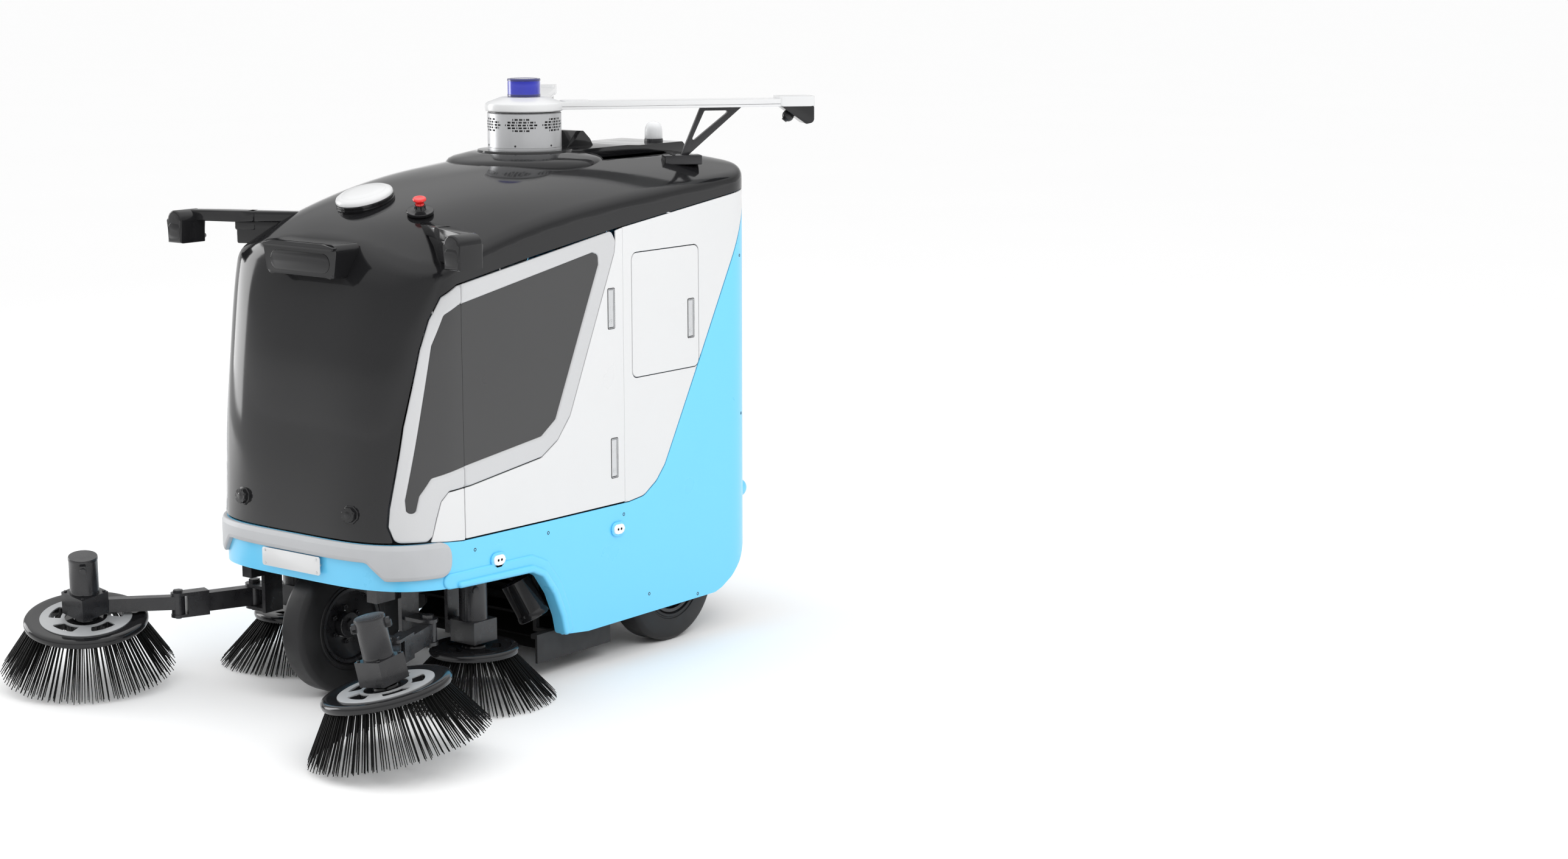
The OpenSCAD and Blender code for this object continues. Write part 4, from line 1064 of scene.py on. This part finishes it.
# ---------------------------------------------------------------- brushes
def bristles(r0, r1, z0, z1, n, seed):
    """Single straight filaments in three staggered rows."""
    q = random.Random(seed)
    v, f = [], []
    for row in range(3):
        for i in range(n):
            a = 2 * PI * (i + row / 3 + q.uniform(-0.2, 0.2)) / n
            ra, rb = r0 - 4 - row * 8 + q.uniform(-2, 2), r1 - 3 - row * 12 - q.uniform(0, 5)
            da = q.uniform(-0.008, 0.008)
            p = Vector((ra * math.cos(a), ra * math.sin(a), z0))
            e = Vector((rb * math.cos(a + da), rb * math.sin(a + da), z1 + q.uniform(0, 4)))
            d = (e - p).normalized()
            sx = Vector((-math.sin(a), math.cos(a), 0))
            sy = d.cross(sx)
            b = len(v)
            for c, w in ((p, 2.3), (p.lerp(e, 0.55), 2.1), (e, 1.3)):
                for k in range(4):
                    t = PI / 4 + PI / 2 * k
                    v.append(tuple(c + sx * math.cos(t) * w + sy * math.sin(t) * w))
            for h in (0, 4):
                f += [(b + h + k, b + h + (k + 1) % 4, b + h + 4 + (k + 1) % 4,
                        b + h + 4 + k) for k in range(4)]
            f += [(b + 3, b + 2, b + 1, b), (b + 8, b + 9, b + 10, b + 11)]
    return v, f


def slotted(prof, n, r, mat):
    """A turned part of a brush, cut by five kidney slots."""
    ob = obj("k", *revolve(prof, n), mat)
    cut = Geo()
    inner, outer = r * 0.40, r * 0.60
    for k in range(5):
        start = 2 * PI * k / 5 + 0.3
        pts = [(inner * math.cos(start + t * 0.16), inner * math.sin(start + t * 0.16)) for t in range(6)]
        pts += [(outer * math.cos(start + t * 0.15 + 0.12), outer * math.sin(start + t * 0.15 + 0.12))
                for t in range(5, -1, -1)]
        cut.add(prism(rounded(pts, 6, 3), 60), T(0, 0, -35))
    boolean(ob, [obj("c", np.vstack(cut.v), cut.f, mat)])
    v = np.array([tuple(x.co) for x in ob.data.vertices]) * 1000
    v[:, 1] -= YM
    f = [tuple(p.vertices) for p in ob.data.polygons]
    bpy.data.objects.remove(ob)
    return v, f


def disc_geo(r):
    """The rounded rim and plate of a brush."""
    return slotted([(10.2, -19), (32, -19), (33, -12), (r - 34, -12), (r - 16, -13.5), (r - 8, -13),
            (r - 2, -9),
                    (r, -3), (r - 0.5, 4), (r - 4, 9), (r - 10, 11.6), (r - 22, 12), (r * 0.80, 8.5),
                    (r * 0.46, 7.5), (36, 7.5), (34, 13), (10.2, 13)], 128, r, GLOSS)


def ring_geo(r):
    """The grey ring let into a front disc."""
    return slotted([(r * 0.34, 6), (r * 0.74, 6), (r * 0.74, 10.2), (r * 0.73, 11), (r * 0.35, 11),
                    (r * 0.34, 10.2)], 96, r, RING)


# a front brush leans inwards and forwards; FBZ is how high that puts its middle
lean_in, lean_fwd = math.radians(9), math.radians(7.5)
lean = math.acos(math.cos(lean_in) * math.cos(lean_fwd))
NX, NY = -math.sin(lean_in), -math.sin(lean_fwd)
NZ = math.sqrt(1 - NX * NX - NY * NY)
az, tilt = math.atan2(NY, NX), math.acos(NZ)
FBZ = 154 * math.cos(lean) + 260 * math.sin(lean) + 2.5
LEAN = T(635, -908, FBZ) @ Matrix.Rotation(az, 4, "Z") @ Matrix.Rotation(tilt, 4, "Y") @ Matrix.Rotation(-az,
        4, "Z")
INNER = T(378, -302, 152)
INNER_MOTOR = T(378, -302, 0)
LUG = prism(bar_outline(9, 0, 18, [1, 1, 8, 8], 5), 16, 2, 2)
LUG_TURN = R(90, "Y") @ R(90, "Z")
front_disc, inner_disc, front_ring = disc_geo(182), disc_geo(133), ring_geo(182)
for s, tag in SIDES:
    b = f"front_brush_{tag}"
    Geo().add(front_disc, LEAN).out(f"front_disc_skin_{tag}", GLOSS, b, "black_matte", (f"front_disc_{tag}",
            ), side=s)
    Geo().add(front_ring, LEAN).out(f"front_ring_{tag}", RING, b, "steel", side=s)
    Geo().add(bristles(168, 260, -12, -154, 88, 5 + s), LEAN).out(f"front_filaments_{tag}", BRISTLE, b,
            "bristle", (f"front_bristles_{tag}",), side=s)
    b = f"inner_brush_{tag}"
    Geo().add(inner_disc, INNER).out(f"inner_disc_skin_{tag}", GLOSS, b, "black_matte", (f"inner_disc_{tag}",
            ), side=s)
    Geo().add(bristles(119, 245, -12, -150, 80, 15 + s), INNER).out(f"inner_filaments_{tag}", BRISTLE, b,
            "bristle", (f"inner_bristles_{tag}",), side=s)
    # motors of the front brushes, over the CAD ones
    g = Geo()
    g.add(revolve([(0, 96), (43, 96), (43, 100), (42.3, 101), (42.3, 196), (43.2, 198), (43.2, 205),
            (41.5, 208), (30, 208.6), (0, 208.6)], 64), LEAN)
    for a in (40, 220):
        g.add(LUG, LEAN @ R(a, "Z") @ T(40, 0, 172) @ LUG_TURN)
    for a in range(4):
        g.add(hexnut(5, 4), LEAN @ R(a * 90 + 45, "Z") @ T(56, 0, 92))
    g.out(f"front_motor_{tag}", SATIN, f"outer_arm_{tag}", "frame_steel", side=s)
    g = Geo()
    g.add(revolve([(0, 243), (42, 243), (42, 247), (41.4, 248), (41.4, 360), (42, 362), (42, 368), (40, 371),
            (0, 371)], 64), INNER_MOTOR)
    g.add(LUG, INNER_MOTOR @ R(-35, "Z") @ T(39, 0, 330) @ LUG_TURN)
    g.out(f"inner_motor_can_{tag}", SATIN, "machine", "frame_steel", side=s)
    # open end of the air tube, over the CAD one
    m = T(372, -35, 196) @ R(-24, "Y") @ R(14, "X")
    g = Geo().add(revolve([(41, -3), (46, -4), (49.5, -1), (50, 4), (50, 12), (48, 16), (47.3, 20),
            (47.3, 119), (44, 119), (41, 60)], 64), m)
    g.add(revolve([(24, 34), (42, 34), (42, 38), (24, 38)], 48), m)
    g.add(revolve([(19, 26), (23, 25), (25, 27), (25, 36), (19, 36)], 40), m)
    g.out(f"outlet_tube_{tag}", GLOSS, "machine", "black_gloss", side=s)

# ---------------------------------------------------------------- CAD nodes that stay
STAY = {"chassis": SATIN, "bay_frame": SATIN, "battery": GREYBOX, "dust_bin": DARK, "fan_unit": DARK,
        "inner_motors": SATIN, "flaps": RUBBER, "lidar_rotor": DARK,
        "fork": SATIN, "link_left": SATIN, "link_right": SATIN, "brush_arm_left": SATIN,
        "brush_arm_right": SATIN, "roller": BRISTLE}
for node, mt in STAY.items():
    o = frame["nodes"][node]
    o.data.materials.clear()
    o.data.materials.append(mt)

# ---------------------------------------------------------------- floor, light, camera
floor = bpy.data.meshes.new("floor")
floor.from_pydata([(-150, -150, 0), (150, -150, 0), (150, 150, 0), (-150, 150, 0)], [], [(0, 1, 2, 3)])
floor_object = bpy.data.objects.new("floor", floor)
bpy.context.scene.collection.objects.link(floor_object)
floor.materials.append(material("studio_floor", (0.97, 0.97, 0.97), 0.7, tint=0.004, scale=0.6, bump=0.02,
        bscale=300, rvar=0.02, spec=0.2))

world = bpy.data.worlds.new("studio")
bpy.context.scene.world = world
world.use_nodes = True
tree = world.node_tree
background = tree.nodes["Background"]
coordinates = tree.nodes.new("ShaderNodeTexCoord")
split = tree.nodes.new("ShaderNodeSeparateXYZ")
ramp = tree.nodes.new("ShaderNodeValToRGB")
tree.links.new(coordinates.outputs["Generated"], split.inputs[0])
tree.links.new(split.outputs["Z"], ramp.inputs[0])
tree.links.new(ramp.outputs[0], background.inputs[0])
ramp.color_ramp.elements[0].position = 0.0
ramp.color_ramp.elements[0].color = (0.92, 0.92, 0.92, 1)
ramp.color_ramp.elements[1].position = 1.0
ramp.color_ramp.elements[1].color = (1.0, 1.0, 1.0, 1)
for height, shade in ((0.1, 0.5), (0.35, 0.42), (0.7, 0.95)):
    e = ramp.color_ramp.elements.new(height)
    e.color = (shade, shade, shade, 1)
background.inputs[1].default_value = 1.26


def area(name, loc, aim, size, power, mirrored=True):
    d = bpy.data.lights.new(name, "AREA")
    d.shape = "RECTANGLE"
    d.size, d.size_y = size
    d.energy = power
    o = bpy.data.objects.new(name, d)
    o.location = loc
    o.rotation_euler = (Vector(aim) - Vector(loc)).to_track_quat("-Z", "Y").to_euler()
    o.visible_glossy = mirrored
    bpy.context.scene.collection.objects.link(o)


area("key", (4.5, -1.5, 4.5), (0, 0, 0.8), (3.0, 3.0), 100, False)
area("left", (-6.5, -1.6, 2.4), (0, -0.3, 0.9), (3.0, 4.0), 150)

cam = bpy.data.cameras.new("camera")
cam.lens, cam.sensor_width = 62.19, 36
cam.clip_end = 500
camera = bpy.data.objects.new("camera", cam)
camera.location = (5.7973, -5.8866 + YM / 1000, 2.1960)
camera.rotation_euler = (math.radians(79.806), 0, math.radians(37.413))
bpy.context.scene.collection.objects.link(camera)
bpy.context.scene.camera = camera
bpy.context.scene.view_settings.view_transform = "Standard"
